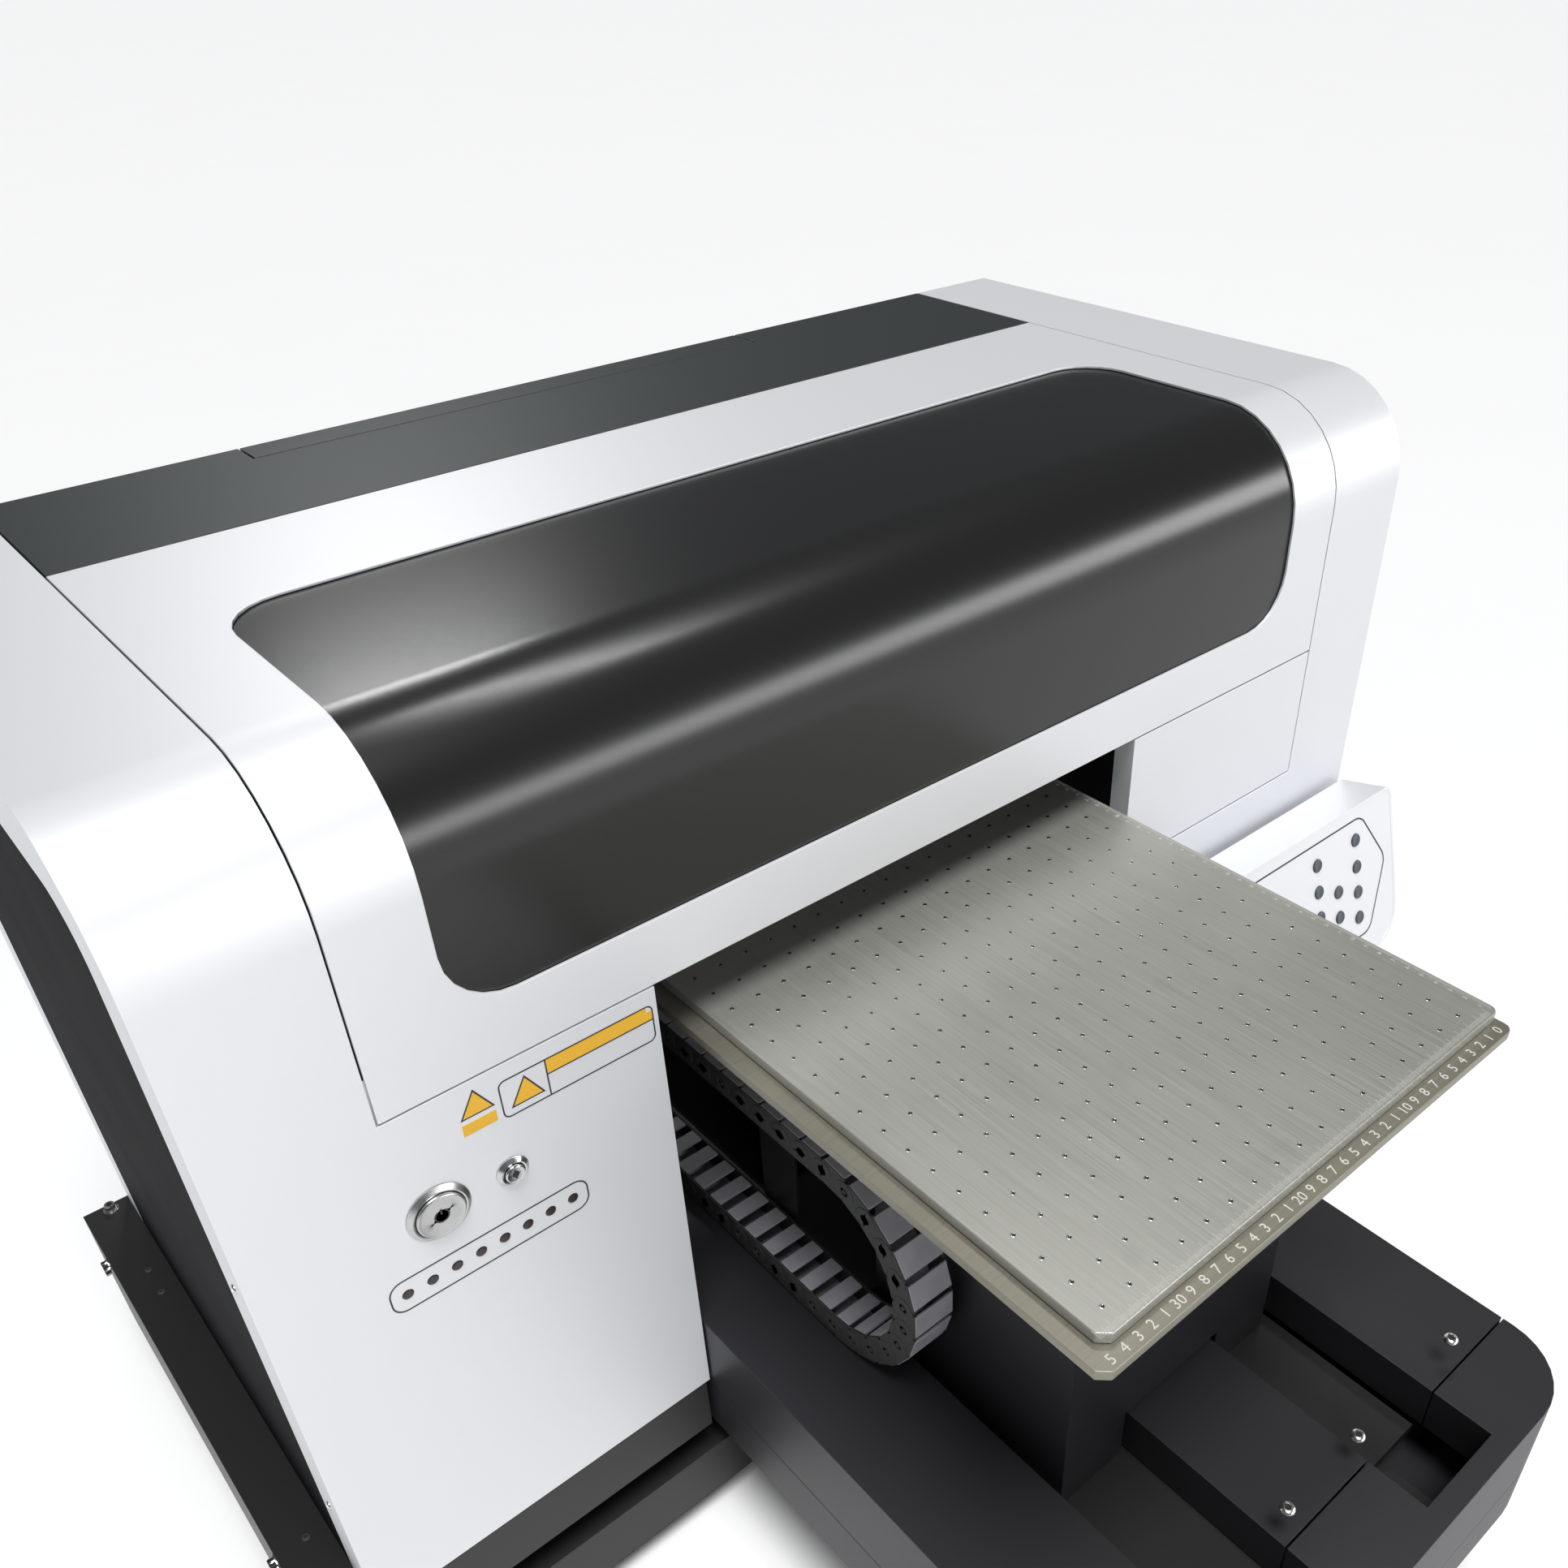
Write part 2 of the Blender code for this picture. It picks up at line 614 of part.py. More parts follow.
def lower_rail(name, front):
    """A rectangular tube across the machine, on two feet."""
    back = front + RAIL_DEPTH
    outer = rectangle(front, RAIL_BOTTOM, back, RAIL_TOP)
    inner = rectangle(front + RAIL_WALL, RAIL_BOTTOM + RAIL_WALL, back - RAIL_WALL, RAIL_TOP - RAIL_WALL)
    half = FRAME_HALF - FRAME_SHEET - GAP
    rail = extruded(name, [outer, inner], "X", -half, half)
    for k, x in enumerate((-FOOT_X, FOOT_X)):
        at = (x, front + RAIL_DEPTH / 2, 0.0)
        foot = cylinder(f"{name}_foot_{k}", FOOT_R, at, (0, 0, 1), 0.0, RAIL_BOTTOM + OVERLAP, 20)
        join(rail, foot)
    return part(rail, "black")


def base_tray():
    """The floor of the base, resting on both rails by its turned-down lips."""
    front = FRONT + TRAY_SETBACK
    back = BACK - TRAY_SETBACK
    foot = RAIL_TOP + GAP
    low = TRAY_TOP - SHEET
    outline = [(front, foot), (front + SHEET, foot), (front + SHEET, low), (back - SHEET, low)]
    outline += [(back - SHEET, foot), (back, foot), (back, TRAY_TOP), (front, TRAY_TOP)]
    half = FRAME_HALF - FRAME_SHEET - RUN
    return part(extruded("base_tray", [outline], "X", -half, half), "black")


# ---- Tongue -----------------------------------------------------------------------------------------


def nose_outline(inset, back):
    """The tongue's outline from above, with its two round front corners."""
    low_x = LANE_X - TONGUE_HALF + inset
    high_x = LANE_X + TONGUE_HALF - inset
    radius = NOSE_R - inset
    return rounded(low_x, NOSE + inset, high_x, back, (radius, radius, 0, 0), NOSE_STEPS)


def tongue_base():
    """A deep tray upside down: the top carries the guides."""
    wall = TONGUE_WALL
    top = TONGUE_SPLIT - GAP
    loops = [nose_outline(0.0, TONGUE_BACK), nose_outline(wall, TONGUE_BACK - wall)]
    base = extruded("tongue_base", loops, "Z", TONGUE_BOTTOM, top)
    inside = nose_outline(wall / 2, TONGUE_BACK - wall / 2)
    lid = extruded("tongue_base_lid", [inside], "Z", top - wall, top)
    return part(join(base, lid), "deck")


def deck_cover():
    """The long cover behind the cap: a channel each side of the slots, joined behind them."""
    front = CAP_BACK + SEAM / 2
    low = TONGUE_SPLIT
    lip = SLOT_FLOOR + RUN

    def channel(name, side):
        outer = LANE_X + side * TONGUE_HALF
        inner = LANE_X + side * SLOT_OUT
        top = DECK_TOP
        step = side * SHEET
        outline = [(outer, low), (outer, top), (inner, top), (inner, lip), (inner + step, lip)]
        outline += [(inner + step, top - SHEET), (outer - step, top - SHEET), (outer - step, low)]
        return extruded(name, [outline], "Y", front, TONGUE_BACK)

    cover = channel("deck_cover", -1)
    tie_half = SLOT_OUT + 5 * SHEET
    tie_low = (LANE_X - tie_half, SLOT_BACK, DECK_TOP - SHEET)
    tie = box("deck_tie", tie_low, (LANE_X + tie_half, TONGUE_BACK, DECK_TOP))
    left = CHAIN_RIGHT - CHAIN_W - RUN
    tab_low = (left - ARM_SHEET, CHAIN_Y + CHAIN_TAB[0], DECK_TOP - OVERLAP)
    tab = box("chain_tab", tab_low, (left, CHAIN_Y + CHAIN_TAB[1], CHAIN_LOW + CHAIN_H / 2))
    return part(join(cover, channel("deck_right", 1), tie, tab), "deck")


def tongue_cap():
    """The rounded nose: a top with two slots, a wall round it and a wall round each slot."""
    wall = TONGUE_WALL
    back = CAP_BACK - SEAM / 2
    slot = NOSE + SLOT_FRONT
    comb = nose_outline(0.0, back)[:-1]
    comb += [(LANE_X + SLOT_OUT, back), (LANE_X + SLOT_OUT, slot)]
    comb += [(LANE_X + SLOT_IN, slot), (LANE_X + SLOT_IN, back)]
    comb += [(LANE_X - SLOT_IN, back), (LANE_X - SLOT_IN, slot)]
    comb += [(LANE_X - SLOT_OUT, slot), (LANE_X - SLOT_OUT, back), (LANE_X - TONGUE_HALF, back)]
    corner = nose_outline(0.0, back)[-2]
    comb.insert(comb.index((LANE_X + SLOT_OUT, back)), corner)
    top = extruded("tongue_cap", [comb], "Z", DECK_TOP - wall, DECK_TOP)
    outer = nose_outline(0.0, back)
    inner = nose_outline(wall, back)
    skirt_outline = outer[-1:] + outer[:-1] + inner[-2::-1] + inner[-1:]
    skirt = extruded("cap_skirt", [skirt_outline], "Z", TONGUE_SPLIT, DECK_TOP - wall / 2)
    shapes = [skirt]
    for side in (-1, 1):
        ends = sorted((LANE_X + side * SLOT_IN, LANE_X + side * SLOT_OUT))
        low_x = ends[0] - wall
        high_x = ends[1] + wall
        outline = [(low_x, back), (low_x, slot - wall), (high_x, slot - wall), (high_x, back)]
        outline += [(ends[1], back), (ends[1], slot), (ends[0], slot), (ends[0], back)]
        low_z = SLOT_FLOOR + RUN
        shapes.append(extruded(f"cap_slot_{side + 1}", [outline], "Z", low_z, DECK_TOP - wall / 2))
    return part(join(top, *shapes), "deck")


def slot_center_cover():
    """The raised spine between the slots, over the screw."""
    half = SLOT_IN
    low = SLOT_FLOOR + RUN
    outline = [(-half, low), (-half, DECK_TOP), (half, DECK_TOP), (half, low), (half - SHEET, low)]
    outline += [(half - SHEET, DECK_TOP - SHEET), (SHEET - half, DECK_TOP - SHEET), (SHEET - half, low)]
    placed = [(LANE_X + u, v) for u, v in outline]
    front = CAP_BACK + SEAM / 2
    return part(extruded("slot_center_cover", [placed], "Y", front, SLOT_BACK - GAP), "deck")


# ---- Housing ----------------------------------------------------------------------------------------


def tower_shell(name, side, lane_edge, panel_top, holes):
    """A white bent shell: the full-height skin beside the hood, a front panel towards the lane, a side
    return and a flange along the bed opening. Holes are (x, z, radius)."""
    outer = side * HOUSING_HALF
    seam = side * (HOOD_HALF + SEAM / 2)
    band = sorted((outer, seam))
    shell = skin_band(name, 0.0, SHEET, PANEL_BOTTOM, BACK, *band)
    side_face = sorted((outer, outer - side * SHEET))
    end = BACK - SHEET - GAP
    returned = skin_band(name + "_return", SHEET / 2, RETURN, PANEL_BOTTOM, end, *side_face)
    panel_edge = sorted((lane_edge, seam + side * 5 * SHEET))
    panel = rectangle(panel_edge[0], PANEL_BOTTOM, panel_edge[1], panel_top)
    front = extruded(name + "_panel", [panel], "Y", FRONT, SKIN_BACK)
    flange = sorted((lane_edge, lane_edge + side * SHEET))
    low = (flange[0], FRONT + SHEET / 2, PANEL_BOTTOM)
    jamb = box(name + "_jamb", low, (flange[1], FRONT + JAMB, panel_top))
    join(shell, front, returned, jamb)
    for k, (x, z, radius) in enumerate(holes):
        at = (x, FRONT, z)
        cut(shell, cylinder(f"{name}_hole_{k}", radius, at, (0, -1, 0), -SHEET - CUT / 2, CUT / 2, 20))
    return part(shell, "white")


def side_panel(name, side):
    """The black side sheet inside the shell's return."""
    inset = RETURN + GAP
    back = BACK - RETURN - GAP
    outline = skin_path(inset, PANEL_BOTTOM, back) + [(back, PANEL_BOTTOM)]
    ends = sorted((side * HOUSING_HALF, side * (HOUSING_HALF - SHEET)))
    return part(extruded(name, [outline], "X", *ends), "black")


def tunnel_wall(name, lane_edge, side):
    """The upright wall between a tower and the bed's lane, on the base's floor."""
    ends = sorted((lane_edge, lane_edge + side * SHEET))
    low = (ends[0], FRONT + JAMB + GAP, TRAY_TOP + GAP)
    return part(box(name, low, (ends[1], BACK - SHEET - GAP, HOOD_BOTTOM - TUNNEL_DROP)), "black")


def rear_panel():
    """The rear sheet with its side returns, the bed's way out, the door's opening and the inlet's hole."""
    low = PANEL_BOTTOM
    top = INNER_TOP - GAP
    door = (REAR_DOOR_X[0] - SEAM / 2, REAR_DOOR_X[1] + SEAM / 2)
    sill = REAR_DOOR_BOTTOM - SEAM / 2
    outline = [(-HOUSING_HALF, low), (LANE_L, low), (LANE_L, REAR_OPENING_TOP)]
    outline += [(LANE_R, REAR_OPENING_TOP), (LANE_R, low), (HOUSING_HALF, low), (HOUSING_HALF, top)]
    outline += [(door[1], top), (door[1], sill), (door[0], sill), (door[0], top), (-HOUSING_HALF, top)]
    inlet = rectangle(INLET_X[0], INLET_Z[0], INLET_X[1], INLET_Z[1])
    sheet = extruded("rear_panel", [outline, inlet], "Y", BACK - SHEET, BACK)
    for side in (-1, 1):
        ends = sorted((side * HOUSING_HALF, side * (HOUSING_HALF - SHEET)))
        corner = (ends[1], BACK - SHEET / 2, HEIGHT - RETURN - GAP)
        join(sheet, box(f"rear_return_{side + 1}", (ends[0], BACK - RETURN, low), corner))
    return part(sheet, "white")


def top_strip():
    """The dark sheet behind the hood, cut back for the rear door's top leg."""
    half = HOOD_EDGE
    notch = BACK - REAR_DOOR_TOP_LEG - SEAM
    left = REAR_DOOR_X[0] - SEAM
    right = REAR_DOOR_X[1] + SEAM
    outline = [(-half, HOOD_BACK + SEAM / 2), (half, HOOD_BACK + SEAM / 2), (half, BACK), (right, BACK)]
    outline += [(right, notch), (left, notch), (left, BACK), (-half, BACK)]
    return part(extruded("top_strip", [outline], "Z", INNER_TOP, HEIGHT), "strip")


def power_inlet():
    """A recessed three-pin power inlet."""
    low = (INLET_X[0] + GAP, BACK - INLET_D, INLET_Z[0] + GAP)
    high = (INLET_X[1] - GAP, BACK - GAP, INLET_Z[1] - GAP)
    body = box("power_inlet", low, high)
    wall = INLET_WALL
    recess = Vector((wall, INLET_D / 3, wall))
    hollow = box("inlet_recess", Vector(low) + recess, Vector(high) + Vector((-wall, CUT, -wall)))
    return part(cut(body, hollow), "plastic")


def hood():
    """The lifting hood and its smoked window, hinged on the hood's top back edge."""
    back = skin_length(HOOD_BACK - SEAM / 2)
    low = HOOD_BOTTOM + SEAM / 2 - PANEL_BOTTOM
    outer = rectangle(-HOOD_EDGE, low, HOOD_EDGE, back)
    bottom = WINDOW_BOTTOM - PANEL_BOTTOM
    top = skin_length(WINDOW_BACK)
    opening = rounded(-WINDOW_HALF, bottom, WINDOW_HALF, top, (WINDOW_R,) * 4)
    shell = part(bent_sheet("hood_shell", [outer, opening], 0.0, SHEET), "white")
    lap = WINDOW_LAP
    wide = WINDOW_HALF + lap
    pane = rounded(-wide, bottom - lap, wide, top + lap, (WINDOW_R + lap,) * 4)
    window = part(bent_sheet("hood_window", [pane], SHEET + GAP, WINDOW_SHEET), "smoked")
    carry(carrier("hood_axis", (0.0, HOOD_BACK, HEIGHT)), shell, window)


def rear_door():
    """The L-shaped flap over the rear service opening, hinged along its bottom edge."""
    low = REAR_DOOR_BOTTOM + SEAM / 2
    leg = BACK - REAR_DOOR_TOP_LEG
    outline = [(BACK - SHEET, low), (BACK, low), (BACK, HEIGHT), (leg, HEIGHT)]
    outline += [(leg, INNER_TOP), (BACK - SHEET, INNER_TOP)]
    door = part(extruded("rear_door", [outline], "X", *REAR_DOOR_X), "strip")
    carry(carrier("rear_door_axis", (0.0, BACK, REAR_DOOR_BOTTOM)), door)


def right_door():
    """The small door beside the bed, hinged at its outer edge, with a flange at its free edge."""
    low = SIDE_DOOR_BOTTOM + SEAM / 2
    high = HOOD_BOTTOM - SEAM / 2
    free = LANE_R
    hinge = HOOD_EDGE
    outline = [(free, FRONT), (hinge, FRONT), (hinge, SKIN_BACK), (free + SHEET, SKIN_BACK)]
    outline += [(free + SHEET, FRONT + JAMB), (free, FRONT + JAMB)]
    door = part(extruded("right_door", [outline], "Z", low, high), "white")
    carry(carrier("right_door_axis", (HOOD_HALF, FRONT, low)), door)


# ---- Gantry -----------------------------------------------------------------------------------------


def gantry():
    """The fixed beam on its two posts, with the head's rail, motor and belt."""
    high_y = BEAM_Y + BEAM
    frame = box("gantry_frame", (-BEAM_HALF, BEAM_Y, BEAM_Z), (BEAM_HALF, high_y, BEAM_Z + BEAM))
    for side in (-1, 1):
        ends = sorted((side * BEAM_HALF, side * (BEAM_HALF - BEAM)))
        corner = (ends[1], high_y, BEAM_Z + OVERLAP)
        join(frame, box(f"post_{side + 1}", (ends[0], BEAM_Y, TRAY_TOP + GAP), corner))
    mount_z = BELT_Z - MOUNT_DROP
    half = X_MOTOR / 2
    left = (-PULLEY_X - half, BELT_Y - half, mount_z - MOUNT_PLATE)
    join(frame, box("idler_bracket", left, (OVERLAP - BEAM_HALF, BELT_Y + half, mount_z)))
    part(frame, "steel")
    middle = BEAM_Z + BEAM / 2
    rail_half = BEAM_HALF - X_RAIL_SHORT
    low = (-rail_half, BEAM_Y - GAP - X_RAIL_T, middle - X_RAIL_H / 2)
    part(box("x_rail", low, (rail_half, BEAM_Y - GAP, middle + X_RAIL_H / 2)), "steel")
    right = (PULLEY_X - half, BELT_Y - half, mount_z - X_MOTOR)
    part(box("x_motor", right, (PULLEY_X + half, BELT_Y + half, mount_z)), "black")
    reach = PULLEY_R + GAP
    outer = PULLEY_R + GAP + BELT_T
    loops = []
    for size in (outer, reach):
        loop = []
        for side in (1, -1):
            for k in range(BELT_STEPS + 1):
                angle = side * math.pi * (k / BELT_STEPS - 0.5)
                across = side * (PULLEY_X + size * math.cos(angle))
                loop.append((across, BELT_Y + size * math.sin(angle)))
        loops.append(loop)
    part(extruded("x_belt", loops, "Z", BELT_Z, BELT_Z + BELT_W), "belt")
    for name, x in (("x_drive_pulley", PULLEY_X), ("x_idler_pulley", -PULLEY_X)):
        low = mount_z + GAP
        high = BELT_Z + BELT_W + PULLEY_LIP
        under = BELT_Z - PULLEY_LIP
        profile = [(0.0, high), (PULLEY_R, high), (PULLEY_R, under)]
        profile += [(PULLEY_SHAFT, under), (PULLEY_SHAFT, low), (0.0, low)]
        pulley = part(turned(name, profile, (0, 0, 0), (0, 0, 1)), "steel")
        carry(carrier(name + "_axis", (x, BELT_Y, 0.0)), pulley)
        pulley.location = (x, BELT_Y, 0.0)


def print_head():
    """The print carriage with its head and lamp, on the rail's front, parked over the capping station."""
    rail_front = BEAM_Y - GAP - X_RAIL_T
    back = rail_front - GAP
    low_x = CARRIAGE_X - CARRIAGE_W / 2
    high_x = CARRIAGE_X + CARRIAGE_W / 2
    floor = HEAD_BOTTOM + CARRIAGE_LIFT
    top = BELT_Z + BELT_W
    carriage = box("print_carriage", (low_x, back - CARRIAGE_D, floor), (high_x, back, top))
    clamp_high = (high_x - CLAMP_INSET, BELT_Y - PULLEY_R - BELT_T - 2 * GAP, top)
    clamp_low = (low_x + CLAMP_INSET, back - OVERLAP, BEAM_Z + BEAM + RUN)
    part(join(carriage, box("belt_clamp", clamp_low, clamp_high)), "plastic")
    inset = HEAD_INSET
    head_low = (low_x + inset, back - CARRIAGE_D + inset, HEAD_BOTTOM)
    head = part(box("print_head", head_low, (high_x - inset, back - inset, floor - GAP)), "steel")
    lamp_high = (low_x - GAP, back - inset, BEAM_Z + BEAM)
    lamp_low = (low_x - GAP - LAMP_W, back - CARRIAGE_D + inset, HEAD_BOTTOM + LAMP_LIFT)
    lamp = part(box("uv_lamp", lamp_low, lamp_high), "black")
    carry(carrier("x_slide_axis", (CARRIAGE_X, back, floor)), carriage, head, lamp)
    station_top = HEAD_BOTTOM - GAP
    side = STATION_INSET
    station_low = (low_x + side, back - CARRIAGE_D, station_top - STATION_H)
    station = box("capping_station", station_low, (high_x - side, back - side, station_top))
    middle = back - CARRIAGE_D / 2
    leg = STATION_LEG
    leg_low = (CARRIAGE_X - leg, middle - leg, TRAY_TOP + GAP)
    leg_high = (CARRIAGE_X + leg, middle + leg, station_top - STATION_H + OVERLAP)
    part(join(station, box("station_leg", leg_low, leg_high)), "black")


def tower_contents():
    """The ink bottles in the left tower and the electronics in the right one."""
    tray = TRAY_TOP + GAP
    tank_low = (INK_X[0], INK_Y[0], tray)
    part(box("ink_tank", tank_low, (INK_X[1], INK_Y[1], tray + INK_H)), "bottle")
    case_low = tray + ELECTRONICS_LIFT
    corner = (ELECTRONICS_X[1], ELECTRONICS_Y[1], case_low + ELECTRONICS_H)
    case = box("electronics_box", (ELECTRONICS_X[0], ELECTRONICS_Y[0], case_low), corner)
    inset = ELECTRONICS_FOOT
    foot_low = (ELECTRONICS_X[0] + inset, ELECTRONICS_Y[0] + inset, tray)
    foot_high = (ELECTRONICS_X[1] - inset, ELECTRONICS_Y[1] - inset, case_low + OVERLAP)
    part(join(case, box("electronics_foot", foot_low, foot_high)), "steel")


# ---- Bed --------------------------------------------------------------------------------------------


def bed_outline(low_x, low_y, high_x, high_y):
    """A plate's outline with three chamfered corners and a rounded one at the front right."""
    size = CORNER_CHAMFER
    points = rounded(low_x, low_y, high_x, high_y, (0, size, 0, 0), 4)[1:-2]
    points = [(low_x, low_y + size), (low_x + size, low_y)] + points
    points += [(high_x, high_y - size), (high_x - size, high_y)]
    return points + [(low_x + size, high_y), (low_x, high_y - size)]


def table():
    """The bed, its pedestal and everything under it, on the screws that move them."""
    low_x = LANE_X - BED_HALF
    high_x = LANE_X + BED_HALF
    back = BED_Y + BED_DEPTH
    outline = bed_outline(low_x, BED_Y, high_x, back)
    base = extruded("bed_base_plate", [outline], "Z", BED_BOTTOM, PLATE_TOP)
    part(base, "bed")
    inset_y = TOP_INSET_FRONT
    outline = bed_outline(low_x + TOP_INSET_LEFT, BED_Y + inset_y, high_x - RUN, back - inset_y)
    top = part(extruded("bed_top_plate", [outline], "Z", PLATE_TOP + GAP, BED_TOP), "bed")
    low_x = LANE_X - PEDESTAL_HALF
    high_x = LANE_X + PEDESTAL_HALF
    floor = SLOT_FLOOR + RUN
    pedestal = box("pedestal", (low_x, PEDESTAL_Y, floor), (high_x, PEDESTAL_BACK, PEDESTAL_TOP))
    hollow_low = (low_x + SHEET, PEDESTAL_Y + SHEET, floor - CUT)
    hollow_high = (high_x - SHEET, PEDESTAL_BACK - SHEET, PEDESTAL_TOP - SHEET)
    notch_low = (LANE_X - NOTCH_HALF, PEDESTAL_Y - CUT, floor - CUT)
    notch_high = (LANE_X + NOTCH_HALF, PEDESTAL_MID, NOTCH_TOP)
    rear_low = (low_x + SHEET, PEDESTAL_MID, floor - CUT)
    rear_high = (high_x - SHEET, PEDESTAL_BACK + CUT, PEDESTAL_TOP - REAR_LINTEL)
    cut(pedestal, box("pedestal_hollow", hollow_low, hollow_high))
    cut(pedestal, box("pedestal_notch", notch_low, notch_high))
    cut(pedestal, box("pedestal_rear", rear_low, rear_high))
    at = (LANE_X, PEDESTAL_MID, 0.0)
    nut_high = PEDESTAL_TOP - SHEET / 2
    nut_low = nut_high - LIFT_NUT_H
    nut = ring("lift_nut", LIFT_NUT_R, LIFT_SCREW_R + RUN, at, (0, 0, 1), nut_low, nut_high)
    join(pedestal, nut)
    part(pedestal, "deck")
    screw_low = BRIDGE_TOP + GAP
    screw_high = PEDESTAL_TOP - SHEET - LIFT_SCREW_SHORT
    screw = cylinder("lift_screw", LIFT_SCREW_R, (0, 0, 0), (0, 0, 1), screw_low, screw_high, 16)
    screw.location = at
    part(screw, "steel")
    near = LANE_X + LIFT_MOTOR_SIDE
    motor_low = (near, PEDESTAL_MID - LIFT_MOTOR / 2, screw_low)
    motor_high = (near + LIFT_MOTOR, PEDESTAL_MID + LIFT_MOTOR / 2, BRIDGE_TOP + LIFT_MOTOR_H)
    motor = part(box("lift_motor", motor_low, motor_high), "black")
    carriage = y_carriage()
    carry(carrier("y_slide_axis", (LANE_X, PEDESTAL_MID, SLOT_FLOOR)), carriage, motor)
    carry(carrier("z_lift_axis", (LANE_X, PEDESTAL_MID, BED_BOTTOM)), base, top, pedestal)
    carry(carrier("lift_screw_axis", at), screw)


def y_carriage():
    """The plate on the two guides, with its bearings and nut, the bridge and the chain's arm."""
    half = SLOT_OUT - RUN - SHEET
    front = NOSE + CARRIAGE_FRONT
    low = SLOT_FLOOR - CARRIAGE_PLATE
    plate = box("y_carriage", (LANE_X - half, front, low), (LANE_X + half, CARRIAGE_BACK, SLOT_FLOOR))
    guide_top = TONGUE_SPLIT + GUIDE_H
    under = BRIDGE_TOP - BRIDGE_PLATE
    shapes = []
    for side in (-1, 1):
        middle = LANE_X + side * (SLOT_IN + SLOT_OUT) / 2
        for k, y in enumerate((front + BEARING_INSET[0], CARRIAGE_BACK - BEARING_INSET[1])):
            corner = (middle + BEARING / 2, y + BEARING_LENGTH, low + OVERLAP)
            start_at = (middle - BEARING / 2, y, guide_top + GAP)
            shapes.append(box(f"bearing_{side + 1}_{k}", start_at, corner))
        leg_far = PEDESTAL_HALF - SHEET - LEG_CLEARANCE
        leg = sorted((LANE_X + side * (SLOT_IN + LEG_SIDE), LANE_X + side * leg_far))
        leg_low = (leg[0], PEDESTAL_MID - LEG_HALF, SLOT_FLOOR - OVERLAP)
        leg_high = (leg[1], PEDESTAL_MID + LEG_HALF, BRIDGE_TOP - OVERLAP)
        shapes.append(box(f"leg_{side + 1}", leg_low, leg_high))
    reach = PEDESTAL_HALF - SHEET - BRIDGE_CLEARANCE
    bridge_low = (LANE_X - reach, PEDESTAL_MID - BRIDGE_HALF, under)
    bridge_high = (LANE_X + reach, PEDESTAL_MID + BRIDGE_HALF, BRIDGE_TOP)
    shapes.append(box("bridge", bridge_low, bridge_high))
    tail_x = LANE_X - TAIL_SIDE
    tail_low = (LANE_X - reach, PEDESTAL_BACK - TAIL[0], under)
    shapes.append(box("bridge_tail", tail_low, (tail_x, PEDESTAL_BACK + TAIL[1], BRIDGE_TOP)))
    foot_low = (ARM_X, PEDESTAL_BACK + RUN, under)
    shapes.append(box("arm_foot", foot_low, (tail_x, ARM_Y[1], BRIDGE_TOP)))
    arm_high = (ARM_X + ARM_SHEET, ARM_Y[1], ARM_TOP)
    shapes.append(box("chain_arm", (ARM_X, ARM_Y[0], under), arm_high))
    half = SCREW_NUT
    nut_low = (LANE_X - half, PEDESTAL_MID - half, TONGUE_SPLIT + RUN)
    nut = box("screw_nut", nut_low, (LANE_X + half, PEDESTAL_MID + half, low + OVERLAP))
    join(plate, *shapes, nut)
    bore_at = (LANE_X, PEDESTAL_MID, SCREW_Z)
    bore = cylinder("nut_bore", SCREW_R + GAP, bore_at, (0, 1, 0), -half - CUT, half + CUT)
    return part(cut(plate, bore), "steel")


def bed_drive():
    """The guides and the screw in the tongue, and the screw's motor."""
    front = NOSE + CARRIAGE_FRONT - GUIDE_AHEAD
    back = SLOT_BACK + GUIDE_BEHIND
    for name, side in (("y_rail_left", -1), ("y_rail_right", 1)):
        middle = LANE_X + side * (SLOT_IN + SLOT_OUT) / 2
        high = (middle + GUIDE_W / 2, back, TONGUE_SPLIT + GUIDE_H)
        part(box(name, (middle - GUIDE_W / 2, front, TONGUE_SPLIT), high), "steel")
    motor_y = back - Y_MOTOR
    screw = cylinder("y_screw", SCREW_R, (0, 0, 0), (0, 1, 0), front, motor_y - GAP, 16)
    screw.location = (LANE_X, 0.0, SCREW_Z)
    part(screw, "steel")
    carry(carrier("y_screw_axis", (LANE_X, 0.0, SCREW_Z)), screw)
    half = Y_MOTOR / 2
    low = (LANE_X - half, motor_y, SCREW_Z - half)
    part(box("y_motor", low, (LANE_X + half, back + Y_MOTOR_BACK, SCREW_Z + half)), "black")


def drag_chain():
    """The cable chain: two straight runs and a half-round bend, as one smooth body."""

    def bend(radius):
        points = []
        for k in range(CHAIN_STEPS + 1):
            angle = math.pi / 2 + k * math.pi / CHAIN_STEPS
            points.append((CHAIN_Y + radius * math.cos(angle), CHAIN_Z + radius * math.sin(angle)))
        return points

    outer = CHAIN_R + CHAIN_H / 2
    inner = CHAIN_R - CHAIN_H / 2
    upper = CHAIN_Y + CHAIN_UPPER
    lower = CHAIN_Y + CHAIN_LOWER
    outline = [(upper, CHAIN_Z + outer)] + bend(outer)
    outline += [(lower, CHAIN_Z - outer), (lower, CHAIN_Z - inner)]
    outline += bend(inner)[::-1] + [(upper, CHAIN_Z + inner)]
    chain = part(extruded("chain_loop", [outline], "X", CHAIN_RIGHT - CHAIN_W, CHAIN_RIGHT), "plastic")
    carry(carrier("chain_axis", (CHAIN_RIGHT - CHAIN_W / 2, CHAIN_Y, CHAIN_Z)), chain)


# ---- Controls ---------------------------------------------------------------------------------------


def led_places():
    pitch = (LED_X[1] - LED_X[0]) / (LED_COUNT - 1)
    return [LED_X[0] + k * pitch for k in range(LED_COUNT)]


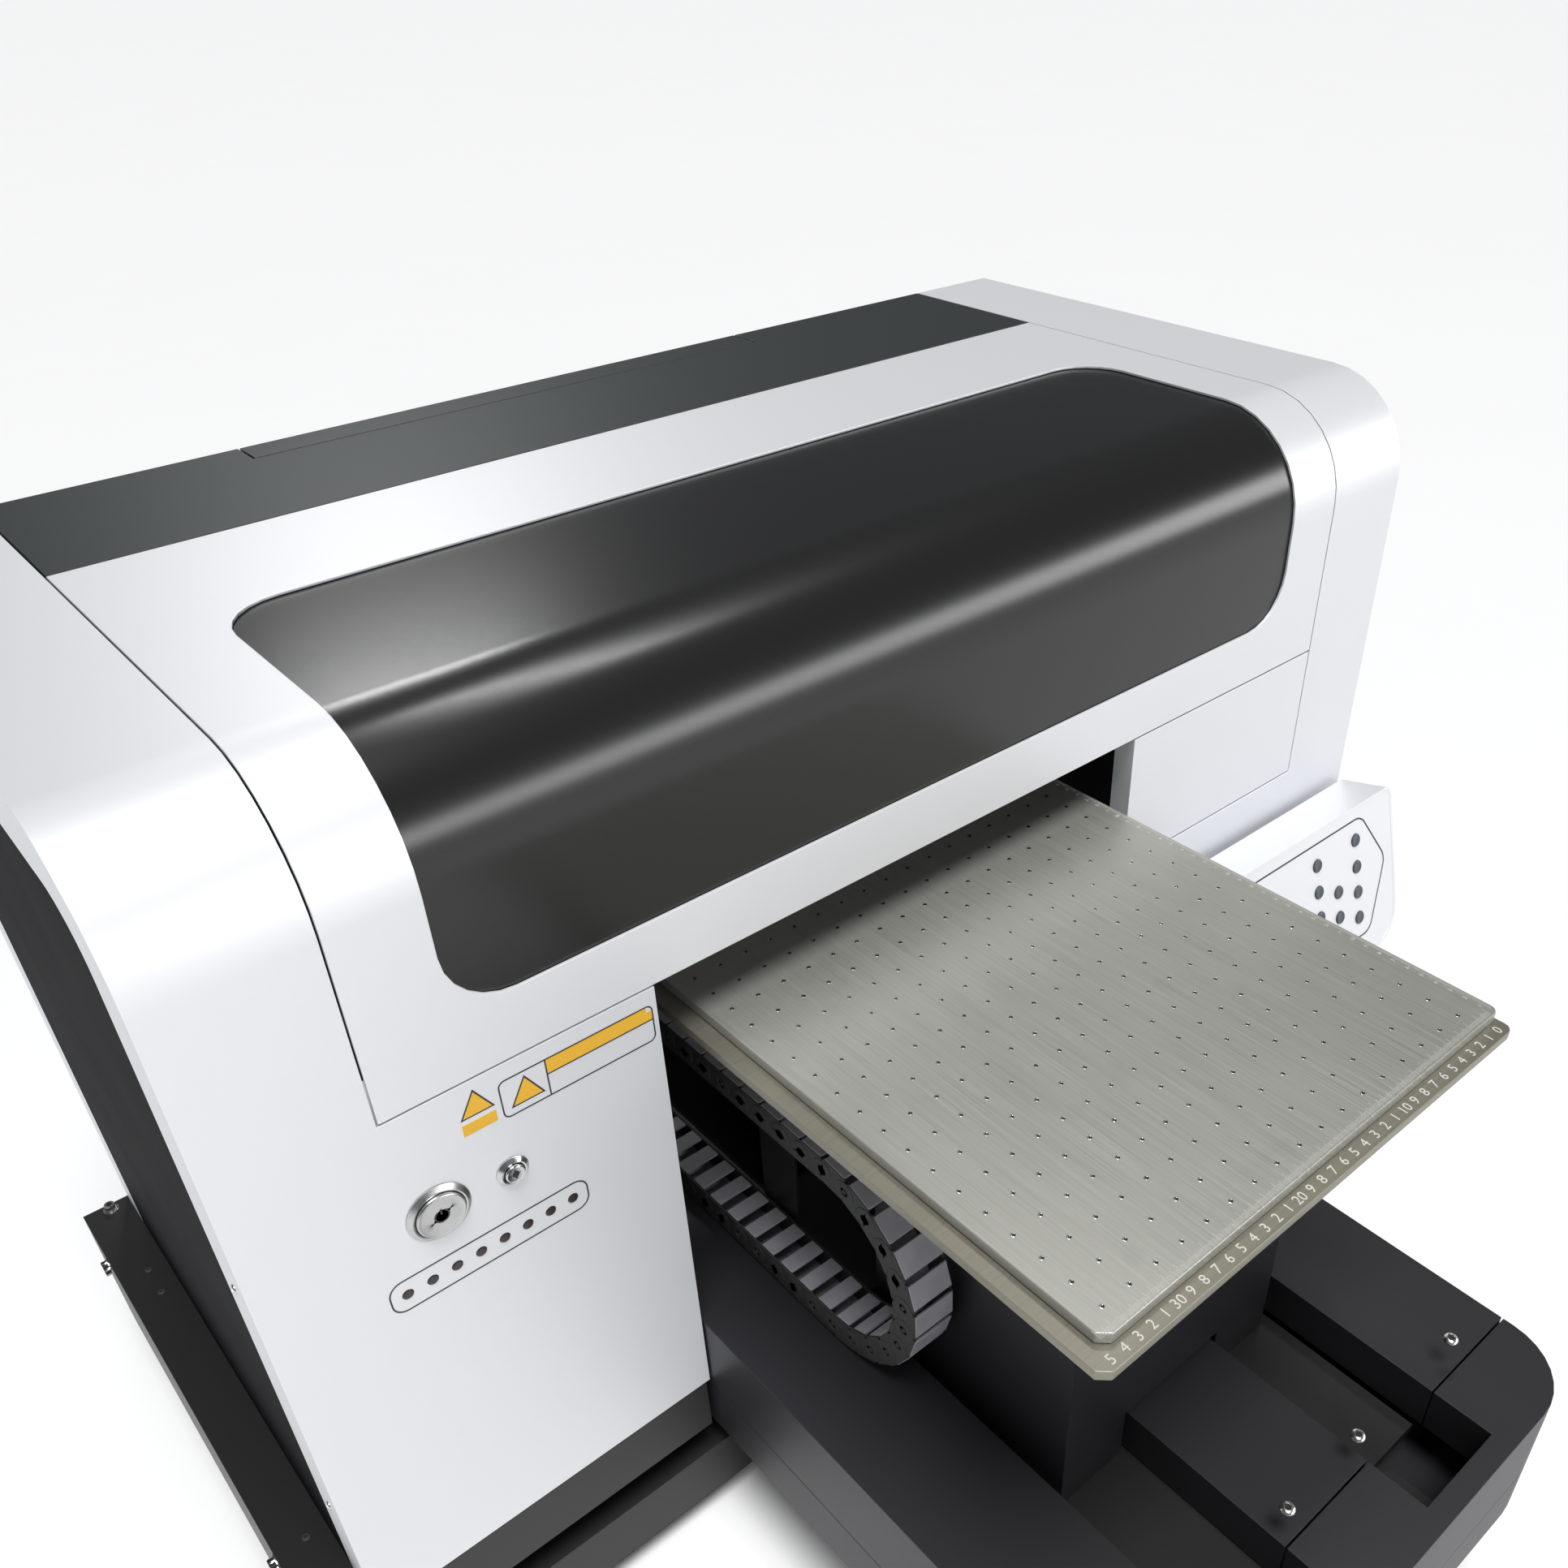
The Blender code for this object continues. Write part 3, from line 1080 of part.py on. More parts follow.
def panel_holes():
    """The left shell's holes for the two buttons and the row of lenses."""
    holes = [(*POWER_AT, POWER_R[2] + GAP), (*SMALL_AT, SMALL_R[2] + GAP)]
    return holes + [(x, LED_Z, LED_R + GAP) for x in led_places()]


def push_button(name, bezel_name, at, radii):
    """A round button in its steel bezel. Pressing moves it back, along +Y."""
    bezel_r, bore_r, barrel_r = radii
    place = (at[0], FRONT, at[1])
    proud = BEZEL_PROUD
    chamfer = BEZEL_CHAMFER
    profile = [(bore_r, proud), (bezel_r - chamfer, proud), (bezel_r, proud - chamfer), (bezel_r, GAP)]
    profile += [(barrel_r, GAP), (barrel_r, -BEZEL_DEEP), (bore_r, -BEZEL_DEEP)]
    part(turned(bezel_name, profile, place, (0, -1, 0), 32, closed=True), "steel")
    radius = bore_r - GAP
    top = BUTTON_PROUD
    profile = [(0.0, top), (radius - chamfer, top), (radius, top - chamfer)]
    profile += [(radius, -BEZEL_DEEP), (0.0, -BEZEL_DEEP)]
    button = part(turned(name, profile, (0, 0, 0), (0, -1, 0), 28), "steel")
    button.location = place
    carry(carrier(name + "_axis", place), button)


def led_bar():
    """One light guide behind the panel, with a lens through each hole."""
    back = SKIN_BACK + GAP
    past, thick, half = LED_BAR
    low = (LED_X[0] - past, back, LED_Z - half)
    bar = box("led_lens_bar", low, (LED_X[1] + past, back + thick, LED_Z + half))
    for k, x in enumerate(led_places()):
        at = (x, FRONT, LED_Z)
        lens = cylinder(f"lens_{k}", LED_R, at, (0, -1, 0), FRONT - back - OVERLAP, LED_PROUD, 12)
        join(bar, lens)
    return part(bar, "lens")


def console_frame():
    """The control box's own frame: X along it, its second axis up its face, its third out of its face."""
    tilt = Matrix.Rotation(math.pi / 2 - CONSOLE_TILT, 4, "X")
    corner = Vector((0.0, FRONT - CONSOLE_OUT, CONSOLE_TOP))
    return Matrix.Translation(corner) @ tilt


def console():
    """The tilted control box on its bracket, and its keys."""
    frame = console_frame()
    low_x = CONSOLE_LEFT
    high_x = HOUSING_HALF
    wall = CONSOLE_WALL
    bottom = CONSOLE_R_BOTTOM
    top = CONSOLE_R_TOP

    def outline(inset):
        radii = (bottom - inset, bottom - inset, top - inset, top - inset)
        return rounded(low_x + inset, inset - CONSOLE_H, high_x - inset, -inset, radii)

    places = [(high_x - across, -down) for across, rows in KEY_COLUMNS for down in rows]
    holes = [circle(*place, KEY_R + GAP, 16) for place in places]
    ring_wall = extruded("control_box", [outline(0.0), outline(wall)], "Z", 0.0, CONSOLE_D)
    face = extruded("console_face", [outline(wall / 2)] + holes, "Z", CONSOLE_D - wall, CONSOLE_D - GAP)
    back = extruded("console_back", [outline(wall / 2)], "Z", GAP, wall)
    for obj in (ring_wall, face, back):
        obj.data.transform(frame)
    bracket_top = frame @ Vector((0.0, -BRACKET_DOWN[0], OVERLAP))
    bracket_low = frame @ Vector((0.0, -BRACKET_DOWN[1], OVERLAP))
    wedge = [(FRONT - GAP, bracket_low.z), (bracket_low.y, bracket_low.z)]
    wedge += [(bracket_top.y, bracket_top.z), (FRONT - GAP, bracket_top.z)]
    inset = BRACKET_INSET
    bracket = extruded("console_bracket", [wedge], "X", low_x + inset, high_x - inset)
    part(join(ring_wall, face, back, bracket), "white")
    press = frame.to_3x3() @ Vector((0, 0, 1))
    for k, (x, y) in enumerate(places):
        at = frame @ Vector((x, y, CONSOLE_D))
        name = f"key_{k + 1}"
        rim = KEY_PROUD - KEY_DOME
        profile = [(0.0, KEY_PROUD), (KEY_R * 0.6, KEY_PROUD - KEY_DOME / 3), (KEY_R, rim)]
        profile += [(KEY_R, KEY_PROUD - KEY_LENGTH), (0.0, KEY_PROUD - KEY_LENGTH)]
        key = part(turned(name, profile, (0, 0, 0), press, 16), "key")
        key.location = at
        carry(carrier(name + "_axis", at), key)


# ---- The machine ------------------------------------------------------------------------------------


def main():
    start()
    side_frame("side_frame_left", -1)
    side_frame("side_frame_right", 1)
    lower_rail("lower_rail_front", FRONT)
    lower_rail("lower_rail_rear", BACK - RAIL_DEPTH)
    base_tray()
    tongue_base()
    deck_cover()
    tongue_cap()
    slot_center_cover()
    tower_shell("left_tower_shell", -1, LANE_L, HOOD_BOTTOM - SEAM / 2, panel_holes())
    tower_shell("right_tower_shell", 1, LANE_R, SIDE_DOOR_BOTTOM - SEAM / 2, [])
    side_panel("side_panel_left", -1)
    side_panel("side_panel_right", 1)
    tunnel_wall("tunnel_wall_left", LANE_L, -1)
    tunnel_wall("tunnel_wall_right", LANE_R, 1)
    rear_panel()
    top_strip()
    power_inlet()
    hood()
    rear_door()
    right_door()
    gantry()
    print_head()
    tower_contents()
    bed_drive()
    table()
    drag_chain()
    push_button("power_button", "power_bezel", POWER_AT, POWER_R)
    push_button("small_button", "small_bezel", SMALL_AT, SMALL_R)
    led_bar()
    console()


main()
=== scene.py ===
"""Looks for the flatbed UV printer: covers, smoked hood, brushed bed, chain and controls."""

import json
import math
from itertools import pairwise

import bmesh
import bpy
from mathutils import Matrix, Vector


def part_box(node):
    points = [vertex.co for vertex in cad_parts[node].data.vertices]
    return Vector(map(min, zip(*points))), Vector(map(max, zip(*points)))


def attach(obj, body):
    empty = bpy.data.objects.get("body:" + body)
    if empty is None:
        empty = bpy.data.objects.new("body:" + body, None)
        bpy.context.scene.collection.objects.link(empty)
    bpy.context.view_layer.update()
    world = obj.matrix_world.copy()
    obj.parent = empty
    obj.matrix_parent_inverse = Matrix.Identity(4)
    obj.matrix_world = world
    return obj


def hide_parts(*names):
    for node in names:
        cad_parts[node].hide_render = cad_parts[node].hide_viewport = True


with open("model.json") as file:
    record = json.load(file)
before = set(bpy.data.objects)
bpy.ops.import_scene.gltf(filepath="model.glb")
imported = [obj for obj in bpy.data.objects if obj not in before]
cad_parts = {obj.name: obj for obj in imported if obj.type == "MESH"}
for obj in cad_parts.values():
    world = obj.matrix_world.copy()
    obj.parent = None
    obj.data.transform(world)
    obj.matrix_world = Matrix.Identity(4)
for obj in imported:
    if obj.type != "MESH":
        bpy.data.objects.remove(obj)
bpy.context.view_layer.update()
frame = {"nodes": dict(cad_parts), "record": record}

bl_info = {
    "name": "Flatbed UV printer",
    "version": (1, 0, 0),
    "blender": (4, 5, 0),
    "location": "3D View > Sidebar > UV printer",
    "description": "Builds the printer's covers, bed, chain, controls and finishes round its frame",
    "category": "Object",
}

NODES = frame["nodes"]
BODY_OF = {n: body for body, names in frame["record"]["behaviour"]["bodies"].items() for n in names}
HAIR = 0.00012  # how far ink and engraving stand off their surface
FULL_TURN = 2 * math.pi
TOP_BEND = 0.075  # radius of the housing's bend from its front to its top
FORWARD = (0, -1, 0)

# Places of the housing's front face, deck and bed, read from the frame
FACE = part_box("left_tower_shell")[0].y
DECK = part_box("deck_cover")[1].z
BED_LOW, BED_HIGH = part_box("bed_top_plate")
LEDGE_LOW, LEDGE_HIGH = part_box("bed_base_plate")
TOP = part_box("left_tower_shell")[1].z
SHELL_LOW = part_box("left_tower_shell")[0]
SEAM_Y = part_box("tongue_cap")[1].y
LANE_X = (LEDGE_LOW.x + LEDGE_HIGH.x) / 2


# ---- What a user may change ----


def colour(label, note, value):
    return bpy.props.FloatVectorProperty(
        name=label, description=note, default=value, subtype="COLOR", min=0.0, max=1.0
    )


def length(label, note, value):
    return bpy.props.FloatProperty(
        name=label, description=note, default=value, unit="LENGTH", min=0.0
    )


class PrinterColours(bpy.types.PropertyGroup):
    white: colour("White paint", "The covers", (0.60, 0.61, 0.645))
    black: colour("Black paint", "The base and the side sheets", (0.008, 0.008, 0.010))
    deck: colour("Deck paint", "The tongue and the pedestal", (0.0105, 0.0120, 0.0165))
    strip: colour("Strip paint", "The strip and the flap behind the hood", (0.018, 0.025, 0.026))
    smoke: colour("Smoked sheet", "The hood's window", (0.006, 0.006, 0.007))
    bed: colour("Bed", "The bed's top plate", (0.43, 0.43, 0.39))
    ledge: colour("Ledge", "The plate under the bed, with its ruler", (0.27, 0.255, 0.205))
    # Painted light: the chain's lids are a pale grey, as if lit, beside its black side plates, as
    # if in shade.
    chain: colour("Chain", "The cable chain's lids", (0.300, 0.300, 0.330))
    keys: colour("Keys", "The control box's keys", (0.075, 0.100, 0.135))
    floor: colour("Floor", "The floor and the backdrop", (0.97, 0.97, 0.97))


class PrinterSizes(bpy.types.PropertyGroup):
    edge: length("Eased edge", "Rounding of sheet edges", 0.0005)
    plate_edge: length("Plate edge", "Rounding of the bed plates' edges", 0.0011)
    hole_pitch: length("Hole pitch", "Distance between the bed's suction holes", 0.020)
    hole_radius: length("Hole radius", "Radius of a suction hole at the bed's face", 0.0015)
    link_pitch: length("Link pitch", "Length of one link of the cable chain", 0.0214)
    digit_height: length("Digit height", "Height of the ruler's digits", 0.0062)
    line: length("Printed line", "Width of the printed outlines", 0.0010)
    screw: length("Screw head", "Radius of the deck screws' heads", 0.0050)


def colours():
    return bpy.context.scene.printer_colours


def sizes():
    return bpy.context.scene.printer_sizes


# ---- Finishes ----


class Value:
    """A number that varies over a surface. Arithmetic on it adds the Math nodes."""

    def __init__(self, finish, link):
        self.finish = finish
        self.link = link

    def math(self, operation, *others, swap=False):
        terms = (self, *others)
        if swap:
            terms = terms[::-1]
        return self.finish.node("ShaderNodeMath", {"operation": operation}, dict(enumerate(terms)))

    def __add__(self, other):
        return self.math("ADD", other)

    __radd__ = __add__

    def __mul__(self, other):
        return self.math("MULTIPLY", other)

    __rmul__ = __mul__

    def __sub__(self, other):
        return self.math("SUBTRACT", other)

    def __rsub__(self, other):
        return self.math("SUBTRACT", other, swap=True)

    def __gt__(self, other):
        return self.math("GREATER_THAN", other)

    def __lt__(self, other):
        return self.math("LESS_THAN", other)

    def __abs__(self):
        return self.math("ABSOLUTE")

    def smooth(self, low, high):
        """0 below low, 1 above high and a soft step between."""
        inputs = {"Value": self, "From Min": low, "From Max": high}
        return self.finish.node("ShaderNodeMapRange", {"interpolation_type": "SMOOTHSTEP"}, inputs)


class Finish:
    """A material, with the nodes that make its detail."""

    def __init__(self, name, base, roughness, metallic=0.0, **constants):
        self.material = bpy.data.materials.new(name)
        self.material.use_nodes = True
        self.tree = self.material.node_tree
        self.shader = self.tree.nodes["Principled BSDF"]
        self.set("Base Color", (*base, 1.0))
        self.set("Roughness", roughness)
        self.set("Metallic", metallic)
        for socket, value in constants.items():
            self.set(socket.replace("_", " "), value)
        self.base = tuple(base)
        self.place = self.node("ShaderNodeTexCoord", {}, {}, "Object")

    def set(self, socket, value):
        self.shader.inputs[socket].default_value = value

    def node(self, kind, settings, inputs, output=0):
        """Any node: its settings first, then the values or links of its sockets."""
        made = self.tree.nodes.new(kind)
        for name, value in settings.items():
            setattr(made, name, value)
        for name, value in inputs.items():
            if isinstance(value, Value):
                self.tree.links.new(value.link, made.inputs[name])
            else:
                made.inputs[name].default_value = value
        return Value(self, made.outputs[output])

    def feed(self, socket, value):
        self.tree.links.new(value.link, self.shader.inputs[socket])

    def stretched(self, scale):
        return self.node("ShaderNodeMapping", {}, {"Vector": self.place, "Scale": scale})

    def noise(self, scale, detail=2.0, at=None):
        inputs = {"Vector": at or self.place, "Scale": scale, "Detail": detail}
        return self.node("ShaderNodeTexNoise", {}, inputs)

    def specks(self, scale, size):
        """Small round dots scattered over the surface: 1 on a dot and 0 elsewhere."""
        inputs = {"Vector": self.place, "Scale": scale}
        near = self.node("ShaderNodeTexVoronoi", {}, inputs, "Distance")
        tint = self.node("ShaderNodeTexVoronoi", {}, inputs, "Color")
        chosen = self.node("ShaderNodeSeparateColor", {}, {"Color": tint}, "Red")
        return (near < size) * (chosen > 0.55)

    def axis(self, name):
        return self.node("ShaderNodeSeparateXYZ", {}, {"Vector": self.place}, name)

    def mix(self, factor, first, second):
        """One colour going to another where factor goes from 0 to 1."""
        tones = {0: factor}
        for index, tone in ((6, first), (7, second)):
            tones[index] = tone if isinstance(tone, Value) else (*tone, 1.0)
        return self.node("ShaderNodeMix", {"data_type": "RGBA"}, tones, 2)

    def shade(self, factor, low, high):
        """The material's own colour, from one share of it to another."""
        return self.mix(factor, toned(self.base, low), toned(self.base, high))

    def bump(self, height, strength, distance):
        inputs = {"Height": height, "Strength": strength, "Distance": distance}
        self.feed("Normal", self.node("ShaderNodeBump", {}, inputs))


def toned(base, gain):
    return tuple(min(1.0, channel * gain) for channel in base)


def white_paint():
    """Gloss powder coat: orange peel, uneven tone and faint press lines over the top bend, bumped
    and painted lighter as highlights.
    """
    made = Finish("white_paint", colours().white, 0.2, Coat_Weight=0.30, Coat_Roughness=0.05)
    peel = made.noise(650.0, 1.0)
    cloud = made.noise(5.0, 3.0)
    across = made.axis("Y") - (FACE + TOP_BEND)
    up = made.axis("Z") - (TOP - TOP_BEND)
    lines = None
    for degrees in (7.5, 25.0, 42.0, 69.0, 89.0):
        angle = math.radians(degrees)
        apart = abs(across * math.sin(angle) + up * math.cos(angle))
        outward = (up * math.sin(angle) - across * math.cos(angle)) > 0.06
        line = (1 - apart.smooth(0.0002, 0.0009)) * outward
        lines = line if lines is None else lines + line
    broken = made.noise(14.0, 2.0).smooth(0.52, 0.60)
    press_lines_and_highlight = lines * broken
    tone = made.shade(cloud, 0.97, 1.02)
    # Painted highlight: the press lines over the bend are painted lighter than the paint, as well
    # as bumped.
    made.feed("Base Color", made.mix(press_lines_and_highlight * 0.5, tone, toned(colours().white, 1.18)))
    made.feed("Roughness", cloud * 0.08 + 0.15)
    made.bump(peel * 0.05 + press_lines_and_highlight, 0.12, 0.0004)
    return made.material


def coated(name, base, roughness, dust, gloss=0.18, grain=1400.0):
    """Satin powder coat: a fine grain, a cloudy sheen and dust specks."""
    made = Finish(name, base, roughness, Specular_IOR_Level=gloss)
    fine = made.noise(grain, 2.0)
    cloud = made.noise(11.0, 4.0)
    smear = made.noise(3.5, 5.0, made.stretched((1.0, 4.0, 1.0))).smooth(0.55, 0.75)
    spots = made.specks(95.0, 0.05) + made.specks(42.0, 0.035)
    tone = made.shade(cloud, 0.86, 1.16)
    worn = made.mix(smear * 0.25, tone, toned(base, 1.7))
    made.feed("Base Color", made.mix(spots * dust, worn, (0.42, 0.43, 0.46)))
    made.feed("Roughness", cloud * 0.12 + (roughness - 0.06) + fine * 0.04)
    made.bump(fine + smear * 0.2, 0.22, 0.00012)
    return made.material


def black_paint():
    return coated("black_paint", colours().black, 0.42, 0.10)


def side_black():
    return coated("side_black", colours().black, 0.62, 0.06, 0.02)


def deck_paint():
    return coated("deck_paint", colours().deck, 0.46, 0.30)


def strip_paint():
    return coated("strip_paint", colours().strip, 0.34, 0.12)


def smoked_acrylic():
    """Polished smoked sheet: nearly black, with dust and faint wiping marks."""
    made = Finish("smoked_acrylic", colours().smoke, 0.03, IOR=1.42, Specular_IOR_Level=0.4)
    wiping = made.noise(9.0, 5.0, made.stretched((1.0, 12.0, 12.0)))
    dust = made.specks(160.0, 0.045)
    haze = made.noise(4.0, 4.0).smooth(0.45, 0.80)
    tone = made.shade(haze, 0.5, 1.2)
    made.feed("Base Color", made.mix(dust * 0.25, tone, (0.20, 0.19, 0.18)))
    made.feed("Roughness", haze * 0.03 + dust * 0.2 + 0.02)
    made.bump(wiping, 0.03, 0.0006)
    return made.material


def brushed(name, base, along, roughness=0.36, depth=0.25, metallic=1.0):
    """Brushed metal: long fine scratches along one axis, over a slow change of tone."""
    made = Finish(name, base, roughness, metallic)
    scale = [900.0, 900.0, 900.0]
    scale["XYZ".index(along)] = 14.0
    scratch = made.noise(1.0, 3.0, made.stretched(scale))
    cloud = made.noise(7.0, 3.0)
    stain = made.noise(26.0, 4.0).smooth(0.60, 0.78)
    tone = made.shade(scratch, 0.80, 1.16)
    made.feed("Base Color", made.mix(stain * 0.18, tone, toned(base, 0.66)))
    made.feed("Roughness", scratch * 0.16 + cloud * 0.10 + (roughness - 0.13))
    made.bump(scratch, depth, 0.00015)
    return made.material


def bed_metal():
    return brushed("bed_metal", colours().bed, "Y", 0.42, 0.20, 0.6)


def ledge_metal():
    return brushed("ledge_metal", colours().ledge, "X", 0.42, 0.20, 0.6)


def machine_steel():
    return brushed("machine_steel", (0.50, 0.50, 0.50), "Z")


def beam_alloy():
    return brushed("beam_alloy", (0.46, 0.47, 0.49), "X", 0.40)


def spun(name, base, centre, roughness):
    """Metal turned on a lathe: fine rings round a centre on the housing's face."""
    made = Finish(name, base, roughness, 1.0)
    across = made.axis("X") - centre[0]
    up = made.axis("Z") - centre[1]
    radius = (across * across + up * up).math("SQRT")
    rings = (radius * 9000.0).math("SINE") * 0.5 + 0.5
    cloud = made.noise(90.0, 3.0)
    made.feed("Base Color", made.shade(cloud, 0.84, 1.12))
    made.feed("Roughness", cloud * 0.10 + rings * 0.06 + (roughness - 0.08))
    made.bump(rings, 0.18, 0.00008)
    return made.material


def grained(name, base, shine, grain, tones, relief=None, metallic=0.0):
    """A fine grain between two tones. Shine is a roughness, its lowest and its spread."""
    roughness, lowest, spread = shine
    made = Finish(name, base, roughness, metallic)
    speckle = made.noise(*grain)
    made.feed("Base Color", made.mix(speckle, *tones))
    made.feed("Roughness", speckle * spread + lowest)
    if relief:
        made.bump(speckle, *relief)
    return made.material


def bright_steel():
    """Plated screws: bright, with small smudges. The suction holes' rims take this finish as a
    painted highlight.
    """
    tones = ((0.50, 0.50, 0.48), (0.74, 0.74, 0.72))
    base = (0.66, 0.66, 0.64)
    shine = (0.2, 0.12, 0.25)
    return grained("bright_steel", base, shine, (420.0, 3.0), tones, (0.10, 0.0001), 1.0)


def dark_plastic(name, base, roughness=0.5):
    """Moulded plastic: a fine stipple and a slightly rubbed sheen."""
    made = Finish(name, base, roughness)
    stipple = made.noise(2200.0, 1.0)
    rubbed = made.noise(60.0, 4.0)
    made.feed("Base Color", made.shade(rubbed, 0.78, 1.25))
    made.feed("Roughness", rubbed * 0.16 + (roughness - 0.08))
    made.bump(stipple, 0.25, 0.0001)
    return made.material


def chain_nylon():
    # Painted light: the lids' pale nylon stands for light falling on them.
    return dark_plastic("chain_nylon", colours().chain, 0.42)


def black_plastic():
    return dark_plastic("black_plastic", (0.030, 0.031, 0.033))


def key_plastic():
    return dark_plastic("key_plastic", colours().keys, 0.22)


def lens_plastic():
    """Dark clear lenses: the first one glows a little redder than the rest."""
    made = Finish("lens_plastic", (0.022, 0.017, 0.019), 0.16, Coat_Weight=0.5)
    red = 1 - made.axis("X").smooth(-0.408, -0.300)
    swirl = made.noise(500.0, 2.0)
    tone = made.mix(red * 0.7, (0.014, 0.014, 0.017), (0.060, 0.022, 0.030))
    made.feed("Base Color", made.mix(swirl * 0.3, tone, (0.04, 0.035, 0.04)))
    made.feed("Roughness", swirl * 0.10 + 0.12)
    return made.material


def belt_rubber():
    """Toothed belt: ribs across its length and a dusty black face."""
    made = Finish("belt_rubber", (0.022, 0.022, 0.022), 0.8)
    ribs = (made.axis("X") * 3100.0).math("SINE") * 0.5 + 0.5
    dusty = made.noise(300.0, 3.0)
    made.feed("Base Color", made.mix(dusty, (0.014, 0.014, 0.014), (0.040, 0.040, 0.042)))
    made.feed("Roughness", dusty * 0.2 + 0.65)
    made.bump(ribs, 0.6, 0.0004)
    return made.material


def ink_plastic():
    """Milky tanks, darker up to the ink's level, with the ink's colours side by side."""
    made = Finish("ink_plastic", (0.62, 0.60, 0.54), 0.4, Coat_Weight=0.2)
    low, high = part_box("ink_tank")
    filled = 1 - made.axis("Z").smooth(low.z + 0.12, low.z + 0.125)
    side = (made.axis("X") - low.x) * (1 / (high.x - low.x))
    cloud = made.noise(30.0, 3.0)
    warm = made.mix(side > 0.33, (0.02, 0.30, 0.42), (0.45, 0.04, 0.20))
    inks = made.mix(side > 0.66, warm, (0.62, 0.50, 0.03))
    milky = made.mix(cloud, (0.56, 0.54, 0.48), (0.68, 0.66, 0.60))
    made.feed("Base Color", made.mix(filled * 0.85, milky, inks))
    made.feed("Roughness", cloud * 0.15 + 0.32)
    made.bump(cloud, 0.1, 0.001)
    return made.material


def printed_ink():
    """Screen-printed black ink."""
    tones = ((0.014, 0.015, 0.018), (0.036, 0.038, 0.044))
    base = (0.020, 0.021, 0.024)
    shine = (0.45, 0.35, 0.2)
    return grained("printed_ink", base, shine, (1800.0, 2.0), tones, (0.1, 0.00005))


def engraved_fill():
    """Pale filled engraving."""
    tones = ((0.52, 0.51, 0.46), (0.78, 0.77, 0.72))
    base = (0.66, 0.65, 0.60)
    shine = (0.6, 0.5, 0.2)
    return grained("engraved_fill", base, shine, (1500.0, 3.0), tones, (0.2, 0.00005))


def label_yellow():
    """Matte yellow label stock."""
    tones = ((0.80, 0.43, 0.02), (0.90, 0.52, 0.04))
    return grained("label_yellow", (0.86, 0.47, 0.02), (0.5, 0.42, 0.15), (900.0, 2.0), tones)


def power_steel():
    centre = (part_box("power_bezel")[0].x + 0.019, 0.4471)
    return spun("power_steel", (0.56, 0.56, 0.56), centre, 0.30)


def small_steel():
    centre = (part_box("small_bezel")[0].x + 0.010, 0.4473)
    return spun("small_steel", (0.60, 0.60, 0.60), centre, 0.22)


def bore_dark():
    """Painted shade: the dark inside of holes, sockets, vents and slots."""
    tones = ((0.006, 0.006, 0.007), (0.018, 0.018, 0.020))
    return grained("bore_dark", (0.010, 0.010, 0.011), (0.6, 0.5, 0.2), (1200.0, 2.0), tones)


def finish(maker):
    """The material that a maker builds, made once."""
    return bpy.data.materials.get(maker.__name__) or maker()


# ---- Shapes ----


def piece(name, work, maker, body, others=(), stands_for=()):
    """Files a mesh as a piece: shaded smooth over its eased edges, riding on its body."""
    for edge in work.edges:
        edge.smooth = len(edge.link_faces) != 2 or edge.calc_face_angle(0.0) < math.radians(38)
    for face in work.faces:
        face.smooth = True
    mesh = bpy.data.meshes.new(name)
    work.to_mesh(mesh)
    work.free()
    made = bpy.data.objects.new(name, mesh)
    bpy.context.scene.collection.objects.link(made)
    for each in (maker, *others):
        mesh.materials.append(finish(each))
    weighted = made.modifiers.new("Even shading", "WEIGHTED_NORMAL")
    weighted.keep_sharp = True
    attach(made, body)
    if stands_for:
        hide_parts(*stands_for)
    return made


def sharp_edges(work, angle):
    limit = math.radians(angle)
    return [e for e in work.edges if len(e.link_faces) == 2 and e.calc_face_angle(0.0) > limit]


def rounded(work, geom, width, steps, affect="EDGES", clamp=False):
    bmesh.ops.bevel(
        work,
        geom=geom,
        offset=width,
        offset_type="OFFSET",
        affect=affect,
        segments=steps,
        profile=0.5,
        material=-1,
        clamp_overlap=clamp,
    )


def ease(work, width, angle=30, steps=2):
    """Rounds every edge sharper than an angle."""
    rounded(work, sharp_edges(work, angle), width, steps, clamp=True)


def welded(node):
    """A solid's mesh with its corners joined and its flat faces made whole."""
    work = bmesh.new()
    work.from_mesh(NODES[node].data)
    bmesh.ops.remove_doubles(work, verts=work.verts, dist=2e-6)
    flat = math.radians(0.5)
    bmesh.ops.dissolve_limit(work, angle_limit=flat, verts=work.verts, edges=work.edges)
    return work


def eased(node, maker, width=None):
    """A cover or part in its final form, its edges rounded, standing for its plain solid."""
    work = welded(node)
    ease(work, sizes().edge if width is None else width)
    return stands_in("eased_", work, maker, node)


def block(work, low, high, matrix=None):
    """A block between two corners, added to a mesh."""
    low = Vector(low)
    high = Vector(high)
    shape = Matrix.Translation((low + high) / 2) @ Matrix.Diagonal((*(high - low), 1.0))
    made = bmesh.ops.create_cube(work, size=1.0, matrix=(matrix or Matrix()) @ shape)
    return made["verts"]


def edges_of(verts):
    inside = set(verts)
    return list(dict.fromkeys(e for v in verts for e in v.link_edges if e.other_vert(v) in inside))


def lift(height):
    return Matrix.Translation((0.0, 0.0, height))


def circle(work, sides, radius, matrix, closed=False):
    """A circle's corners, with a face over it where it is closed."""
    made = bmesh.ops.create_circle(
        work, cap_ends=closed, segments=sides, radius=radius, matrix=matrix
    )
    return made["verts"]


